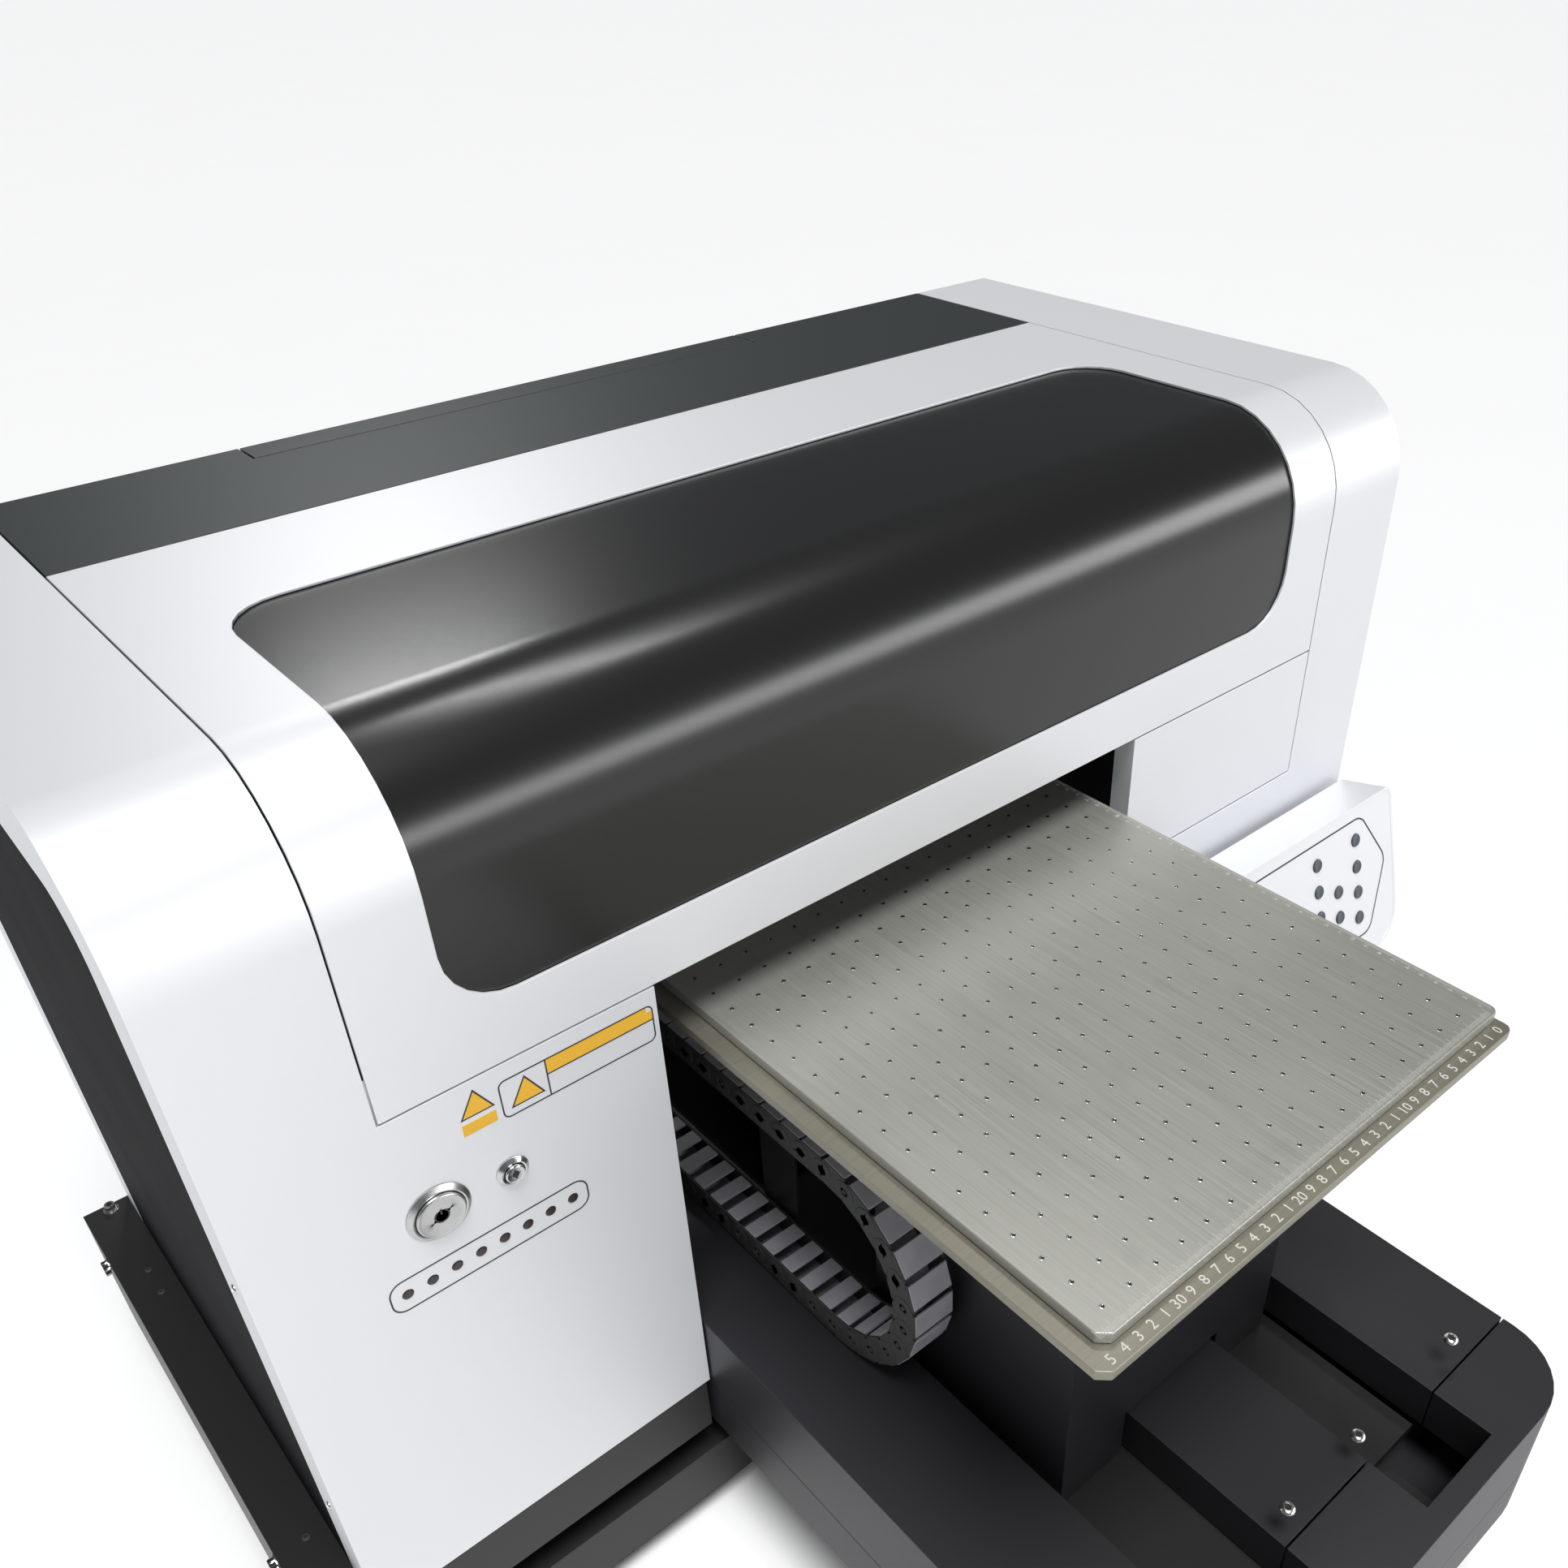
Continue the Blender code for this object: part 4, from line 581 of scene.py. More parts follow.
def stacked(work, rings, matrix, material=0):
    """A round or many-sided piece from rings (sides, radius, height), closed at both ends."""
    before = set(work.faces)
    last = None
    for index, (sides, radius, height) in enumerate(rings):
        closed = index in (0, len(rings) - 1)
        at = matrix @ lift(height)
        loop = edges_of(circle(work, sides, radius, at, closed))
        if last is not None:
            bmesh.ops.bridge_loops(work, edges=last + loop)
        last = loop
    added = [f for f in work.faces if f not in before]
    for face in added:
        face.material_index = material
    bmesh.ops.recalc_face_normals(work, faces=added)
    return added


def facing(at, direction):
    """A frame at a point whose Z axis looks along a direction."""
    turn = Vector(direction).to_track_quat("Z", "Y").to_matrix().to_4x4()
    return Matrix.Translation(at) @ turn


def corners(wide, tall):
    """A rectangle's corners, from its half sizes."""
    return [(-wide, -tall), (wide, -tall), (wide, tall), (-wide, tall)]


def raised(work, faces, along):
    """Gives flat faces a thickness."""
    made = bmesh.ops.extrude_face_region(work, geom=faces)["geom"]
    moved = [v for v in made if isinstance(v, bmesh.types.BMVert)]
    bmesh.ops.translate(work, verts=moved, vec=along)


def outline_ring(work, points, radius, width, matrix):
    """A printed outline with rounded corners, of an even width, in an empty mesh."""
    verts = [work.verts.new(matrix @ Vector((u, v, 0.0))) for u, v in points]
    work.faces.new(verts)
    rounded(work, verts, radius, 6, "VERTICES")
    face = max(work.faces, key=lambda f: len(f.verts))
    rim = bmesh.ops.inset_region(
        work, faces=[face], thickness=width, use_even_offset=True, use_boundary=True
    )["faces"]
    bmesh.ops.delete(work, geom=[face], context="FACES_ONLY")
    raised(work, rim, matrix.to_3x3() @ Vector((0.0, 0.0, HAIR)))
    bmesh.ops.recalc_face_normals(work, faces=work.faces)


def written(text, height, matrix):
    """Flat digits as a mesh."""
    curve = bpy.data.curves.new("digits", "FONT")
    curve.body = text
    curve.size = height / 0.70
    curve.align_x = "CENTER"
    curve.align_y = "CENTER"
    curve.resolution_u = 3
    curve.extrude = HAIR / 2
    holder = bpy.data.objects.new("digits", curve)
    bpy.context.scene.collection.objects.link(holder)
    bpy.context.view_layer.update()
    seen = holder.evaluated_get(bpy.context.evaluated_depsgraph_get())
    mesh = bpy.data.meshes.new_from_object(seen)
    bpy.data.objects.remove(holder)
    bpy.data.curves.remove(curve)
    mesh.transform(matrix)
    return mesh


def middle_of(node, depth=None):
    """The middle of a node's box, or its place on the housing's face at another depth."""
    low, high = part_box(node)
    middle = (low + high) / 2
    if depth is not None:
        middle.y = depth
    return middle


def stands_in(name, work, maker, node, others=()):
    """Files a mesh as the final form of a node, on its body, with the node's plain solid hidden."""
    return piece(name + node, work, maker, BODY_OF[node], others, (node,))


def button_head(work, at, direction, radius, height):
    """A domed socket screw: its head, its rim and its six-sided socket."""
    socket = radius * 0.46
    place = facing(at, direction)
    rings = [
        (24, radius, 0.0),
        (24, radius, height * 0.22),
        (24, radius * 0.95, height * 0.48),
        (24, radius * 0.78, height * 0.80),
        (24, socket * 1.18, height),
        (6, socket, height * 0.96),
        (6, socket * 0.96, height * 0.35),
    ]
    stacked(work, rings, place)
    # Painted shade: the socket's floor takes the second, dark finish.
    stacked(work, [(6, socket * 0.95, height * 0.30), (6, socket * 0.95, height * 0.37)], place, 1)


def cap_head(work, at, direction, radius, height):
    """A tall socket screw on a washer."""
    place = facing(at, direction)
    washer = height * 0.18
    stacked(work, [(24, radius * 1.45, 0.0), (24, radius * 1.45, washer)], place)
    socket = radius * 0.56
    rings = [
        (24, radius, washer),
        (24, radius, height * 0.90),
        (24, radius * 0.93, height),
        (6, socket, height),
        (6, socket * 0.97, height * 0.45),
    ]
    stacked(work, rings, place)
    # Painted shade: the socket's floor takes the second, dark finish.
    stacked(work, [(6, socket * 0.96, height * 0.40), (6, socket * 0.96, height * 0.47)], place, 1)


def hex_head(work, at, direction, radius, height):
    place = facing(at, direction)
    stacked(work, [(24, radius * 1.25, 0.0), (24, radius * 1.25, height * 0.15)], place)
    rings = [(6, radius, height * 0.15), (6, radius, height * 0.86), (24, radius * 0.80, height)]
    stacked(work, rings, place)


# ---- Operators ----


class MakeCovers(bpy.types.Operator):
    """Build the white covers of the housing"""

    bl_idname = "uv_printer.covers"
    bl_label = "White covers"

    def execute(self, context):
        covers = ("left_tower_shell", "right_tower_shell", "hood_shell", "right_door", "rear_panel")
        for node in covers:
            eased(node, white_paint)
        return {"FINISHED"}


class MakeWindow(bpy.types.Operator):
    """Build the smoked window of the hood"""

    bl_idname = "uv_printer.window"
    bl_label = "Smoked window"

    def execute(self, context):
        eased("hood_window", smoked_acrylic)
        return {"FINISHED"}


class MakeDarkSheets(bpy.types.Operator):
    """Build the strip and the flap behind the hood, the side sheets and the lane's walls"""

    bl_idname = "uv_printer.dark_sheets"
    bl_label = "Dark sheets"

    def execute(self, context):
        for node in ("top_strip", "rear_door"):
            eased(node, strip_paint)
        for sheet in ("side_panel", "tunnel_wall"):
            for side in ("left", "right"):
                eased(f"{sheet}_{side}", side_black)
        work = bmesh.new()
        low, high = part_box("rear_door")
        for x in (low.x + 0.045, high.x - 0.045):
            barrel = facing((x - 0.020, high.y - 0.0045, low.z + 0.004), (1, 0, 0))
            stacked(work, [(16, 0.0035, 0.0), (16, 0.0035, 0.040)], barrel)
        piece("flap_hinges", work, black_plastic, "rear_flap")
        return {"FINISHED"}


class MakeBase(bpy.types.Operator):
    """Build the base's frames, rails and floor, with their screws"""

    bl_idname = "uv_printer.base"
    bl_label = "Base"

    def execute(self, context):
        rails = ("lower_rail_front", "lower_rail_rear")
        for node in ("side_frame_left", "side_frame_right", *rails, "base_tray"):
            eased(node, black_paint)
        low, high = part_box("side_frame_left")
        ledge = high.z
        outer = low.x + 0.005
        bolts = (0.0628, 0.3958)
        bolt_height = 0.1414
        flush = (0.3578, 0.3288, 0.0588)
        work = bmesh.new()
        for side in (-1, 1):
            for y in (high.y - 0.008, low.y + 0.012):
                cap_head(work, (side * (-outer - 0.020), y, ledge), (0, 0, 1), 0.0042, 0.0065)
            for y in bolts:
                place = (side * (-outer + 0.0001), y, bolt_height)
                hex_head(work, place, (side, 0, 0), 0.0062, 0.0048)
        piece("base_screws", work, bright_steel, "base", (bore_dark,))
        work = bmesh.new()
        for side in (-1, 1):
            for y in flush:
                button_head(work, (side * 0.502, y, ledge), (0, 0, 1), 0.0030, 0.0014)
        piece("ledge_screws", work, black_plastic, "base", (bore_dark,))
        return {"FINISHED"}


class MakeTongue(bpy.types.Operator):
    """Build the tongue, its covers and the screws that hold them"""

    bl_idname = "uv_printer.tongue"
    bl_label = "Tongue"

    def execute(self, context):
        for node in ("tongue_base", "deck_cover", "tongue_cap", "slot_center_cover"):
            eased(node, deck_paint, 0.0006)
        radius = sizes().screw
        behind_seam = 0.0088
        work = bmesh.new()
        for across in (0.0367, 0.1448):
            for side in (-1, 1):
                at = (LANE_X + side * across, SEAM_Y + behind_seam, DECK)
                button_head(work, at, (0, 0, 1), radius, 0.0026)
        piece("deck_screws", work, bright_steel, "base", (bore_dark,))
        eased("y_rail_left", black_paint, 0.0003)
        eased("y_rail_right", black_paint, 0.0003)
        eased("y_screw", machine_steel, 0.0003)
        eased("y_motor", black_plastic, 0.001)
        return {"FINISHED"}


class MakePedestal(bpy.types.Operator):
    """Build the pedestal, the carriage under it and the lift"""

    bl_idname = "uv_printer.pedestal"
    bl_label = "Pedestal and carriage"

    def execute(self, context):
        eased("pedestal", deck_paint, 0.0008)
        eased("y_carriage", black_paint, 0.0004)
        eased("lift_screw", machine_steel, 0.0003)
        eased("lift_motor", black_plastic, 0.001)
        return {"FINISHED"}


class MakeBed(bpy.types.Operator):
    """Build the bed's plates, its suction holes and its ruler"""

    bl_idname = "uv_printer.bed"
    bl_label = "Bed"

    def execute(self, context):
        size = sizes()
        eased("bed_base_plate", ledge_metal, size.plate_edge * 0.8)
        eased("bed_top_plate", bed_metal, size.plate_edge)
        self.holes(size)
        self.ruler(size)
        return {"FINISHED"}

    def holes(self, size):
        """Countersunk suction holes in rows, as small cups let into the bed's face, with a bright
        rim as painted highlight and a dark floor set off to one side as painted shade.
        """
        work = bmesh.new()
        margin = Vector((0.014, 0.0142, 0.0))
        first = BED_LOW + margin
        columns, rows, sides = 17, 24, 10
        radius = size.hole_radius
        for i in range(columns):
            for j in range(rows):
                at = (first.x + i * size.hole_pitch, first.y + j * size.hole_pitch, BED_HIGH.z)
                place = Matrix.Translation(at)
                rim = edges_of(circle(work, sides, radius, place))
                lifted = place @ lift(HAIR)
                lip = edges_of(circle(work, sides, radius * 0.82, lifted))
                bmesh.ops.bridge_loops(work, edges=rim + lip)
                # Painted shade: the dark floor is set off towards +X and -Y, where the
                # countersink's shade falls; the bright rim round it is a painted highlight.
                shade_floor_place = place @ Matrix.Translation((radius * 0.16, -radius * 0.16, HAIR / 4))
                floor = circle(work, sides, radius * 0.60, shade_floor_place, True)
                bmesh.ops.bridge_loops(work, edges=lip + edges_of(floor))
                for face in floor[0].link_faces:
                    if len(face.verts) > 4:
                        face.material_index = 1
        bmesh.ops.recalc_face_normals(work, faces=work.faces)
        if sum(face.normal.z for face in work.faces) < 0:
            bmesh.ops.reverse_faces(work, faces=work.faces)
        piece("suction_holes", work, bright_steel, "table", (bore_dark,))

    def ruler(self, size):
        """Digits along the front ledge, and fine marks along the bed's front and right edges."""
        zero = LEDGE_HIGH.x - 0.0095
        millimetre = 0.001
        centimetre = 0.010
        shallow = size.digit_height * 0.42
        middle = (LEDGE_LOW.y + BED_LOW.y) / 2
        digits = bmesh.new()
        for k in range(36):
            at = (zero - centimetre * k, middle, LEDGE_HIGH.z + HAIR / 2)
            self.digit(digits, k, size.digit_height, at)
        for k in range(1, 46):
            at = (BED_HIGH.x - 0.0062, BED_LOW.y + centimetre * k, BED_HIGH.z + HAIR / 2)
            self.digit(digits, k, shallow, at)
        piece("ruler_digits", digits, engraved_fill, "table")
        marks = bmesh.new()
        half = 0.00010
        low = BED_HIGH.z
        high = BED_HIGH.z + HAIR / 2
        front = BED_LOW.y + 0.0016
        right = BED_HIGH.x - 0.0016
        for k in range(351):
            reach = self.reach(k, 0.0062, 0.0046, 0.0032)
            x = zero - millimetre * k
            if x < BED_HIGH.x - 0.003:
                block(marks, (x - half, front, low), (x + half, front + reach, high))
        for k in range(5, 460):
            reach = self.reach(k, 0.0036, 0.0028, 0.0020)
            y = BED_LOW.y + millimetre * k
            block(marks, (right - reach, y - half, low), (right, y + half, high))
        piece("ruler_marks", marks, engraved_fill, "table")

    def digit(self, digits, number, height, at):
        """The last digit of a number, or the whole number at the tens."""
        text = str(number if number % 10 == 0 else number % 10)
        mesh = written(text, height, Matrix.Translation(at))
        digits.from_mesh(mesh)
        bpy.data.meshes.remove(mesh)

    def reach(self, number, tens, fives, ones):
        """The length of a ruler's mark."""
        if number % 10 == 0:
            return tens
        return fives if number % 5 == 0 else ones


class MakeChain(bpy.types.Operator):
    """Build the cable chain, link by link"""

    bl_idname = "uv_printer.chain"
    bl_label = "Cable chain"

    def execute(self, context):
        low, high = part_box("chain_loop")
        width = high.x - low.x
        tall = 0.022
        bend = (high.z - low.z) / 2 - tall / 2
        centre = middle_of("chain_loop", low.y + bend + tall / 2)
        runs = (0.300, bend * math.pi, 0.319)
        count = round(sum(runs) / sizes().link_pitch)
        pitch = sum(runs) / count
        work = bmesh.new()
        for index in range(count):
            place = self.place((index + 0.5) * pitch, runs, bend, centre)
            self.link(work, place, pitch, width, tall)
        # Painted light: the lids take the pale nylon, as if lit, and the side plates, pivots and
        # bars the black plastic, as if in shade.
        shaded_side_finish = (black_plastic,)
        piece("chain_links", work, chain_nylon, "chain", shaded_side_finish, ("chain_loop",))
        return {"FINISHED"}

    def place(self, along, runs, bend, centre):
        """The frame of a link: X across, Y along the chain, Z towards the outside of its bend."""
        upper, arc, _ = runs
        if along < upper:
            at = centre + Vector((0.0, upper - along, bend))
            turn = 0.0
        elif along < upper + arc:
            turn = (along - upper) / bend
            at = centre + Vector((0.0, -bend * math.sin(turn), bend * math.cos(turn)))
        else:
            at = centre + Vector((0.0, along - upper - arc, -bend))
            turn = math.pi
        return Matrix.Translation(at) @ Matrix.Rotation(turn, 4, "X")

    def link(self, work, place, pitch, width, tall):
        """One link: a lid outside, a bar inside and a plate with its pivot on each side."""
        half = width / 2
        side = 0.0024
        gap = 0.0011
        inset = 0.0012
        lid = block(
            work,
            (-half + inset, -pitch / 2 + gap, tall / 2 - 0.0020),
            (half - inset, pitch / 2 - gap, tall / 2),
            place,
        )
        bar = block(
            work,
            (-half + side, -pitch * 0.30, -tall / 2 + 0.0004),
            (half - side, pitch * 0.30, -tall / 2 + 0.0024),
            place,
        )
        rounded(work, edges_of(lid) + edges_of(bar), 0.0004, 1)
        for face in {f for vert in bar if vert.is_valid for f in vert.link_faces}:
            face.material_index = 1
        for hand in (-1, 1):
            face = hand * half
            inner = face - hand * side
            ends = sorted((face - hand * 0.0006, inner))
            plate_low = (ends[0], -pitch / 2 + 0.0003, -tall / 2 + 0.0006)
            plate = block(work, plate_low, (ends[1], pitch / 2, tall / 2 - 0.0006), place)
            for face in {f for vert in plate for f in vert.link_faces}:
                face.material_index = 1
            pivot = place @ facing((inner, pitch / 2 - 0.0005, 0.0), (hand, 0, 0))
            rings = [
                (20, tall * 0.40, 0.0004),
                (20, tall * 0.40, side - 0.0003),
                (20, tall * 0.36, side),
                (20, tall * 0.17, side),
                (20, tall * 0.15, side - 0.0006),
            ]
            pin = [(12, tall * 0.09, side - 0.0008), (12, tall * 0.07, side)]
            stacked(work, rings, pivot, 1)
            stacked(work, pin, pivot, 1)


class MakeGantry(bpy.types.Operator):
    """Build the beam, the rail, the belt drive and the print head"""

    bl_idname = "uv_printer.gantry"
    bl_label = "Gantry and print head"

    def execute(self, context):
        parts = (
            ("gantry_frame", beam_alloy, 0.0012),
            ("x_rail", machine_steel, 0.0006),
            ("x_motor", black_plastic, 0.0012),
            ("x_belt", belt_rubber, 0.0002),
            ("x_drive_pulley", machine_steel, 0.0004),
            ("x_idler_pulley", machine_steel, 0.0004),
            ("print_carriage", black_plastic, 0.0020),
            ("print_head", machine_steel, 0.0008),
            ("uv_lamp", black_paint, 0.0015),
            ("capping_station", black_plastic, 0.0015),
        )
        for part in parts:
            eased(*part)
        low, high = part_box("uv_lamp")
        fins = bmesh.new()
        for k in range(9):
            z = low.z + 0.030 + k * 0.0065
            start = (low.x + 0.005, low.y - 0.0020, z)
            block(fins, start, (high.x - 0.005, low.y + 0.0002, z + 0.0030))
        ease(fins, 0.0004, 30, 1)
        piece("lamp_fins", fins, machine_steel, "head")
        low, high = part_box("print_carriage")
        tubes = bmesh.new()
        for k in range(6):
            at = (low.x + 0.022 + k * 0.0132, low.y + 0.030, high.z - 0.001)
            collar = [(12, 0.0045, 0.0), (12, 0.0045, 0.006)]
            tube = [(12, 0.0025, 0.0065), (12, 0.0025, 0.013)]
            stacked(tubes, collar + tube, Matrix.Translation(at))
        piece("ink_fittings", tubes, bright_steel, "head")
        return {"FINISHED"}


class MakeTowerContents(bpy.types.Operator):
    """Build the ink tanks, the electronics case and the power inlet"""

    bl_idname = "uv_printer.tower_contents"
    bl_label = "Tower contents"

    def execute(self, context):
        eased("ink_tank", ink_plastic, 0.004)
        eased("electronics_box", machine_steel, 0.001)
        eased("power_inlet", black_plastic, 0.0006)
        low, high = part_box("electronics_box")
        # Painted shade: the vent slots are dark blocks on the case's face, standing for the shade
        # inside the openings.
        vents = bmesh.new()
        for k in range(10):
            z = low.z + 0.110 + k * 0.012
            start = (low.x + 0.025, low.y - 0.0004, z)
            block(vents, start, (high.x - 0.025, low.y + 0.0004, z + 0.005))
        piece("case_vents", vents, bore_dark, "base")
        pins = bmesh.new()
        middle = middle_of("power_inlet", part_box("power_inlet")[1].y - 0.012)
        for dx, dz in ((-0.008, -0.004), (0.008, -0.004), (0.0, 0.004)):
            start = middle + Vector((dx - 0.001, -0.0085, dz - 0.003))
            block(pins, start, middle + Vector((dx + 0.001, 0.010, dz + 0.003)))
        piece("inlet_pins", pins, bright_steel, "base")
        return {"FINISHED"}


class MakeButtons(bpy.types.Operator):
    """Build the two panel buttons in their turned bezels"""

    bl_idname = "uv_printer.buttons"
    bl_label = "Panel buttons"

    def execute(self, context):
        self.bezel("power_bezel", power_steel, 0.0150, 0.0160)
        self.bezel("small_bezel", small_steel, 0.0065, 0.0075)
        self.button("power_button", power_steel, 0.0030)
        self.button("small_button", small_steel, 0.0020)
        self.standby_mark()
        self.key_slot()
        return {"FINISHED"}

    def bezel(self, node, maker, bore, barrel):
        """A turned ring: a wide sloping face, a bright lip and its barrel behind the panel."""
        low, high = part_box(node)
        radius = (high.x - low.x) / 2
        place = facing(middle_of(node, FACE), FORWARD)
        back = FACE - high.y
        proud = FACE - low.y
        work = bmesh.new()
        rings = [
            (bore, back),
            (barrel, back),
            (barrel, 0.0003),
            (radius, 0.0003),
            (radius, 0.0009),
            (radius - 0.0005, 0.0013),
            (bore + 0.0012, proud),
            (bore + 0.0003, proud - 0.0002),
            (bore, proud - 0.0008),
        ]
        loops = []
        for reach, height in rings:
            at = place @ lift(height)
            loops.append(edges_of(circle(work, 64, reach, at)))
        for first, second in pairwise([*loops, loops[0]]):
            bmesh.ops.bridge_loops(work, edges=first + second)
        bmesh.ops.recalc_face_normals(work, faces=work.faces)
        stands_in("turned_", work, maker, node)

    def button(self, node, maker, dish):
        low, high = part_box(node)
        radius = (high.x - low.x) / 2
        place = facing(middle_of(node, FACE), FORWARD)
        back = FACE - high.y
        proud = FACE - low.y
        work = bmesh.new()
        rings = [
            (64, radius, back),
            (64, radius, proud - 0.0012),
            (64, radius - 0.0004, proud - 0.0004),
            (64, radius - 0.0010, proud),
            (64, radius - dish, proud - 0.0003),
            (64, radius * 0.3, proud - 0.0003),
        ]
        stacked(work, rings, place)
        stands_in("turned_", work, maker, node)

    def standby_mark(self):
        """A broken ring with an upright stroke, engraved in the power button."""
        centre = middle_of("power_button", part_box("power_button")[0].y + 0.0003)
        work = bmesh.new()
        angle = math.radians(32)
        outward = Vector((math.sin(angle), 0.0, math.cos(angle)))
        first = [work.verts.new(centre + outward * radius) for radius in (0.0036, 0.0046)]
        edge = work.edges.new(first)
        bmesh.ops.spin(
            work,
            geom=[edge, *first],
            cent=centre,
            axis=(0, 1, 0),
            angle=FULL_TURN - 2 * angle,
            steps=28,
            use_merge=False,
        )
        raised(work, work.faces[:], (0.0, -HAIR, 0.0))
        stroke_low = centre + Vector((-0.0005, -HAIR, 0.0012))
        block(work, stroke_low, centre + Vector((0.0005, 0.0, 0.0052)))
        bmesh.ops.recalc_face_normals(work, faces=work.faces)
        piece("standby_mark", work, printed_ink, "power_push")

    def key_slot(self):
        centre = middle_of("small_button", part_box("small_button")[0].y + 0.0002)
        work = bmesh.new()
        place = facing(centre, FORWARD)
        # Painted shade: the key's slot is a dark ring and stroke standing for the shade inside the
        # keyhole.
        stacked(work, [(20, 0.0021, 0.0), (20, 0.0019, HAIR)], place)
        start = centre + Vector((-0.0005, -HAIR * 2, -0.0030))
        block(work, start, centre + Vector((0.0005, 0.0, 0.0030)))
        piece("key_slot", work, bore_dark, "small_push")


class MakeLightRow(bpy.types.Operator):
    """Build the row of small lenses in its printed outline"""

    bl_idname = "uv_printer.light_row"
    bl_label = "Row of lenses"

    def execute(self, context):
        low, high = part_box("led_lens_bar")
        proud = low.y
        z = (low.z + high.z) / 2
        first = low.x + 0.008
        last = high.x - 0.008
        back = high.y
        work = bmesh.new()
        block(work, (low.x, back - 0.003, low.z), (high.x, back, high.z))
        ease(work, 0.0004)
        for k in range(8):
            x = first + k * (last - first) / 7
            place = facing((x, back - 0.002, z), FORWARD)
            tip = back - 0.002 - proud
            heights = (0.0, tip - 0.0005, tip - 0.0001, tip)
            radii = (0.0032, 0.0032, 0.0028, 0.0014)
            stacked(work, [(20, *ring) for ring in zip(radii, heights)], place)
        piece("lens_row", work, lens_plastic, "base", stands_for=("led_lens_bar",))
        frame_on_panel = facing(((first + last) / 2, FACE, z), FORWARD)
        work = bmesh.new()
        outline_ring(work, corners(0.0635, 0.012), 0.0088, sizes().line, frame_on_panel)
        piece("lens_outline", work, printed_ink, "base")
        return {"FINISHED"}


class MakeConsole(bpy.types.Operator):
    """Build the control box, its printed outline and its keys"""

    bl_idname = "uv_printer.console"
    bl_label = "Control box"

    def execute(self, context):
        eased("control_box", white_paint, 0.0007)
        upright = math.radians(90 - 15)
        hinge = Matrix.Translation((0.0, FACE - 0.0075, 0.3734))
        face = hinge @ Matrix.Rotation(upright, 4, "X")
        face = face @ lift(0.045 - 0.0003)
        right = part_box("control_box")[1].x
        printed_width = 0.286
        left = right - printed_width
        bends = [(0.0465, 0.0115), (0.0134, 0.0635), (0.0420, 0.1260)]
        points = [(right - across, -down) for across, down in bends]
        points += [(left + across, -down) for across, down in bends[::-1]]
        work = bmesh.new()
        outline_ring(work, points[::-1], 0.0085, sizes().line * 1.5, face)
        piece("console_outline", work, printed_ink, "base")
        out = face.to_3x3() @ Vector((0, 0, 1))
        for k in range(1, 10):
            node = f"key_{k}"
            surface = face.inverted() @ middle_of(node)
            at = face @ Vector((surface.x, surface.y, 0.0))
            work = bmesh.new()
            rings = [
                (28, 0.0058, -0.0052),
                (28, 0.0058, 0.0009),
                (28, 0.0054, 0.0014),
                (28, 0.0044, 0.0017),
                (28, 0.0030, 0.0013),
                (28, 0.0010, 0.0011),
            ]
            stacked(work, rings, facing(at, out))
            stands_in("domed_", work, key_plastic, node)
        return {"FINISHED"}


class MakePanelDetails(bpy.types.Operator):
    """Build the small screws in the covers' returns and the blank labels on the front"""

    bl_idname = "uv_printer.panel_details"
    bl_label = "Screws and blank labels"

    def execute(self, context):
        work = bmesh.new()
        for side in (-1, 1):
            for z in (0.250, 0.450):
                at = (side * -SHELL_LOW.x, FACE + 0.020, z)
                button_head(work, at, (side, 0, 0), 0.0030, 0.0014)
        piece("return_screws", work, bright_steel, "base", (bore_dark,))
        self.labels()
        return {"FINISHED"}

    def labels(self):
        """A blank notice with a yellow band and a triangle, and a blank triangle beside it."""
        ink = bmesh.new()
        middle = Vector((-0.2860, FACE, 0.4985))
        half = Vector((0.0500, 0.0, 0.0135))
        line = 0.0009
        bend = 0.0045
        outline_ring(ink, corners(half.x, half.z), bend, line, facing(middle, FORWARD))
        split = -0.3062
        under = 0.5013
        right = middle.x + half.x
        top = middle.z + half.z
        block(ink, (split - line, FACE - HAIR, middle.z - half.z), (split, FACE, top))
        block(ink, (split, FACE - HAIR, under - line), (right, FACE, under))
        triangles = ((-0.3201, 0.4964, 0.0124), (-0.3497, 0.5048, 0.0120))
        for x, z, reach in triangles:
            stacked(ink, [(3, reach, 0.0), (3, reach, HAIR / 2)], facing((x, FACE, z), FORWARD))
        piece("label_outline", ink, printed_ink, "base")
        yellow = bmesh.new()
        skin = FACE - HAIR / 2
        block(yellow, (split, skin, under), (right - bend, FACE, top - line))
        block(yellow, (right - bend, skin, under), (right - line, FACE, top - bend))
        for x, z, reach in triangles:
            inside = reach - 0.0020
            stacked(yellow, [(3, inside, 0.0), (3, inside, HAIR)], facing((x, FACE, z), FORWARD))
        block(yellow, (-0.3600, FACE - HAIR, 0.4876), (-0.3396, FACE, 0.4956))
        piece("label_signs", yellow, label_yellow, "base")


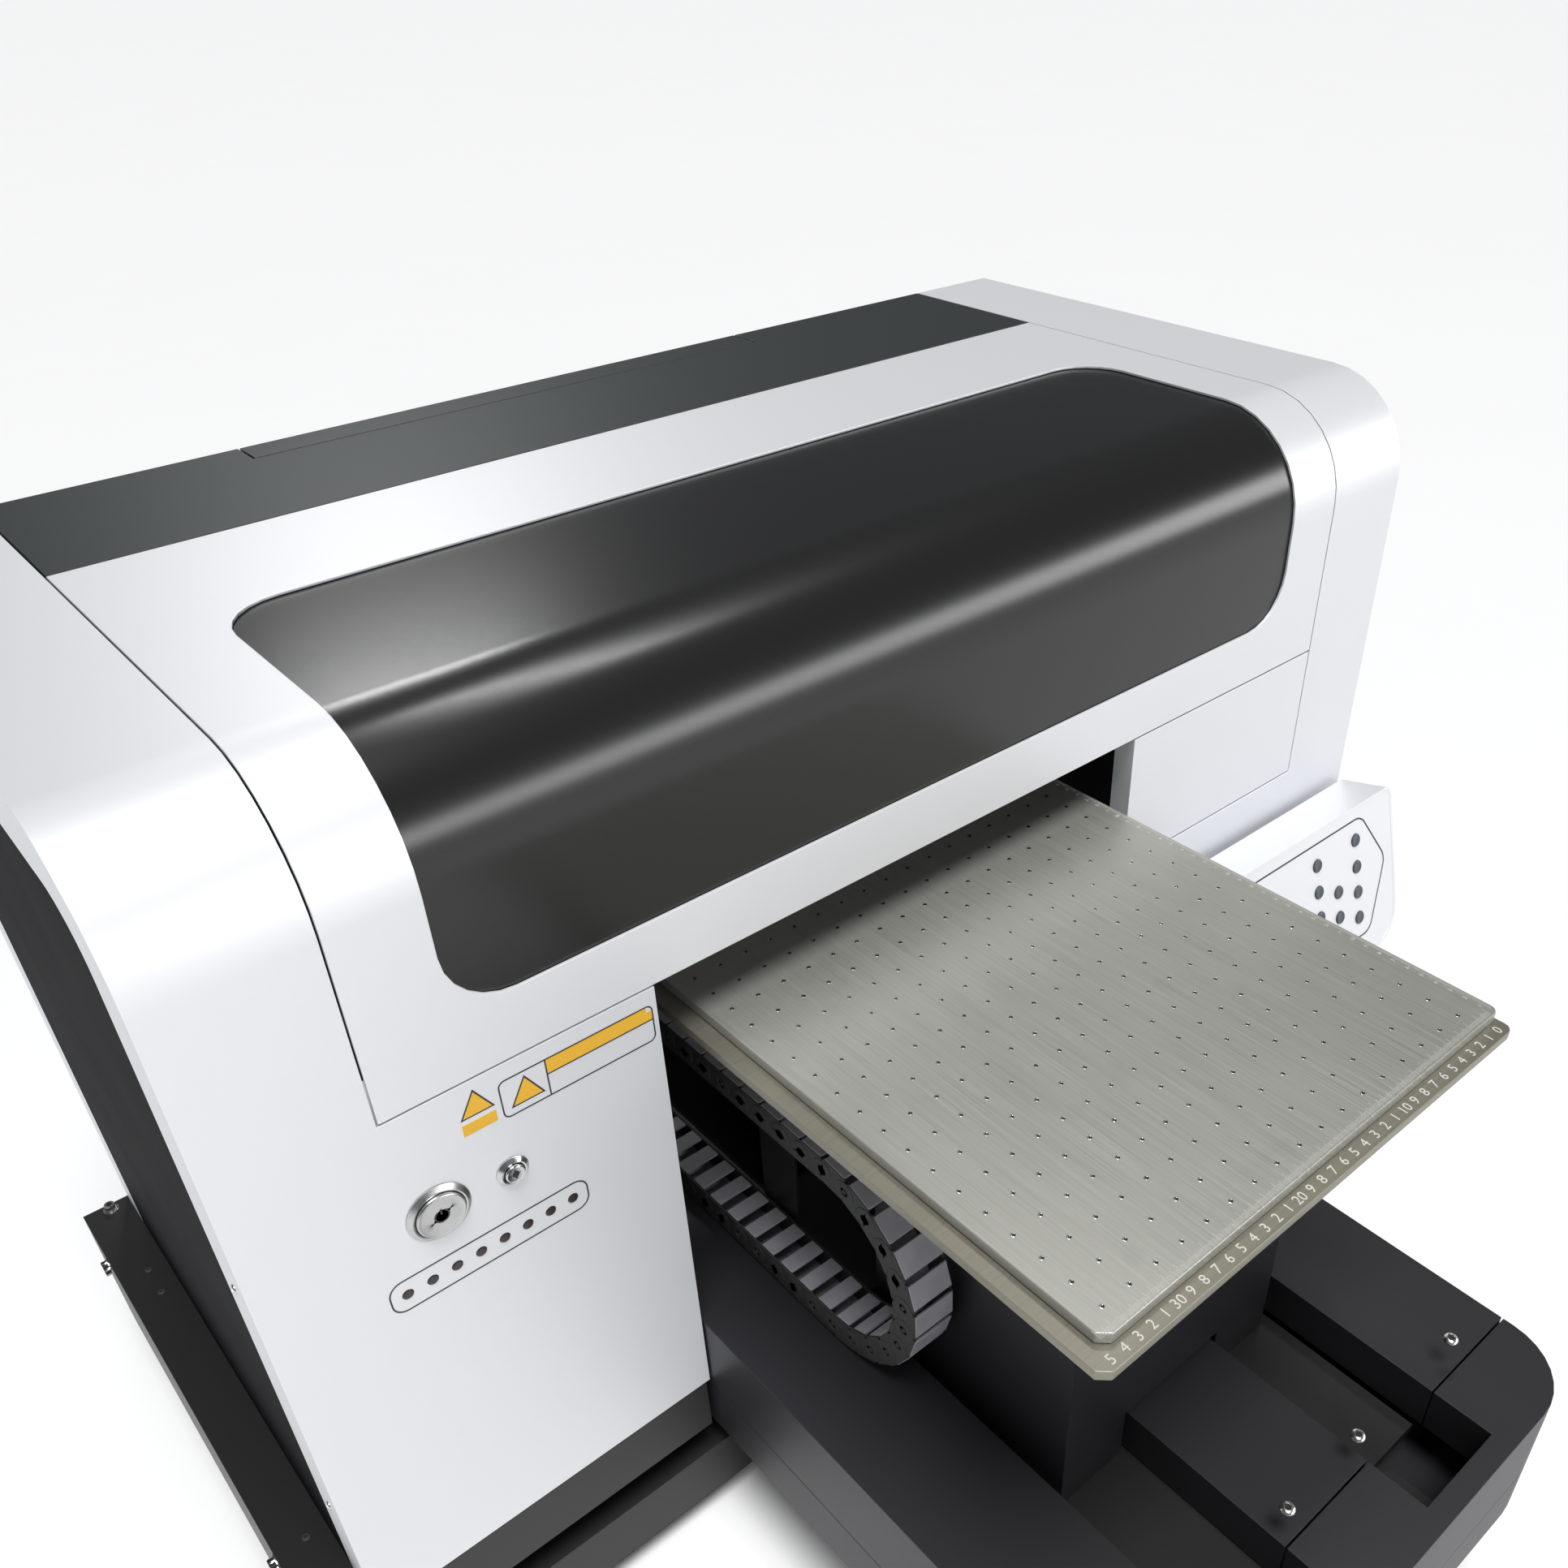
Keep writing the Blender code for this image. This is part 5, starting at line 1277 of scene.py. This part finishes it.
class MakeStage(bpy.types.Operator):
    """Set the floor, the lights and the camera"""

    bl_idname = "uv_printer.stage"
    bl_label = "Stage"

    def execute(self, context):
        self.floor()
        self.world(context)
        lamps = (
            ("front_fill", (-1.20, -3.00, 1.70), (-0.3, 0.0, 0.4), (2.6, 1.4), 26.0, True),
            ("front_band", (1.95, -2.90, 1.45), (0.0, 0.0, 0.67), (4.9, 0.80), 95.0, False),
            ("streak_behind", (0.85, 3.05, 2.68), (-0.3, 0.05, 0.72), (0.7, 0.12), 16.0, False),
            ("streak_above", (1.05, 0.65, 3.70), (-0.2, 0.02, 0.71), (1.3, 0.07), 22.0, False),
        )
        for name, at, towards, size, power, lights in lamps:
            self.lamp(name, Vector(at), Vector(towards), size, power, lights)
        self.sun()
        self.camera(context)
        return {"FINISHED"}

    def floor(self):
        work = bmesh.new()
        bmesh.ops.create_grid(work, x_segments=2, y_segments=2, size=60.0)
        mesh = bpy.data.meshes.new("floor")
        work.to_mesh(mesh)
        work.free()
        floor = bpy.data.objects.new("floor", mesh)
        bpy.context.scene.collection.objects.link(floor)
        made = Finish("floor_paint", colours().floor, 0.85)
        cloud = made.noise(3.0, 3.0)
        made.feed("Base Color", made.shade(cloud, 0.985, 1.0))
        mesh.materials.append(made.material)

    def world(self, context):
        world = bpy.data.worlds.new("studio")
        world.use_nodes = True
        background = world.node_tree.nodes["Background"]
        background.inputs["Color"].default_value = (0.90, 0.93, 1.0, 1.0)
        background.inputs["Strength"].default_value = 0.12
        context.scene.world = world
        context.scene.view_settings.view_transform = "Standard"

    def sun(self):
        data = bpy.data.lights.new("sun", "SUN")
        data.energy = 2.9
        data.angle = math.radians(25)
        sun = bpy.data.objects.new("sun", data)
        sun.rotation_euler = Vector((-0.12, -0.26, 0.95)).to_track_quat("Z", "Y").to_euler()
        bpy.context.scene.collection.objects.link(sun)

    def lamp(self, name, at, towards, size, power, lights):
        """A rectangular lamp that either lights the surfaces or is only mirrored in them."""
        data = bpy.data.lights.new(name, "AREA")
        data.shape = "RECTANGLE"
        data.size, data.size_y = size
        data.energy = power
        lamp = bpy.data.objects.new(name, data)
        lamp.location = at
        lamp.visible_diffuse = lights
        lamp.visible_glossy = not lights
        lamp.rotation_euler = (towards - at).to_track_quat("-Z", "Y").to_euler()
        bpy.context.scene.collection.objects.link(lamp)

    def camera(self, context):
        """The photo's camera, solved from the printer's straight edges."""
        data = bpy.data.cameras.new("camera")
        data.lens = 32.758
        data.sensor_width = 36.0
        data.shift_x = -0.0732
        data.shift_y = 0.0790
        camera = bpy.data.objects.new("camera", data)
        camera.location = (-0.5467, -0.5899, 1.0419)
        camera.rotation_euler = [math.radians(a) for a in (53.7675, 0.5074, -41.7568)]
        context.scene.collection.objects.link(camera)
        context.scene.camera = camera


MAKERS = (
    MakeCovers,
    MakeWindow,
    MakeDarkSheets,
    MakeBase,
    MakeTongue,
    MakePedestal,
    MakeBed,
    MakeChain,
    MakeGantry,
    MakeTowerContents,
    MakeButtons,
    MakeLightRow,
    MakeConsole,
    MakePanelDetails,
    MakeStage,
)


class PrinterPanel(bpy.types.Panel):
    """Lists the printer's colours, sizes and pieces"""

    bl_idname = "VIEW3D_PT_uv_printer"
    bl_label = "Flatbed UV printer"
    bl_space_type = "VIEW_3D"
    bl_region_type = "UI"
    bl_category = "UV printer"

    def draw(self, context):
        for group in (context.scene.printer_colours, context.scene.printer_sizes):
            box = self.layout.box()
            for name in type(group).__annotations__:
                box.prop(group, name)
        for maker in MAKERS:
            self.layout.operator(maker.bl_idname)


CLASSES = (PrinterColours, PrinterSizes, *MAKERS, PrinterPanel)


def register():
    for each in CLASSES:
        bpy.utils.register_class(each)
    bpy.types.Scene.printer_colours = bpy.props.PointerProperty(type=PrinterColours)
    bpy.types.Scene.printer_sizes = bpy.props.PointerProperty(type=PrinterSizes)


def unregister():
    del bpy.types.Scene.printer_sizes
    del bpy.types.Scene.printer_colours
    for each in reversed(CLASSES):
        bpy.utils.unregister_class(each)


def main():
    register()
    for maker in MAKERS:
        group, name = maker.bl_idname.split(".")
        getattr(getattr(bpy.ops, group), name)()


if __name__ == "__main__":
    main()
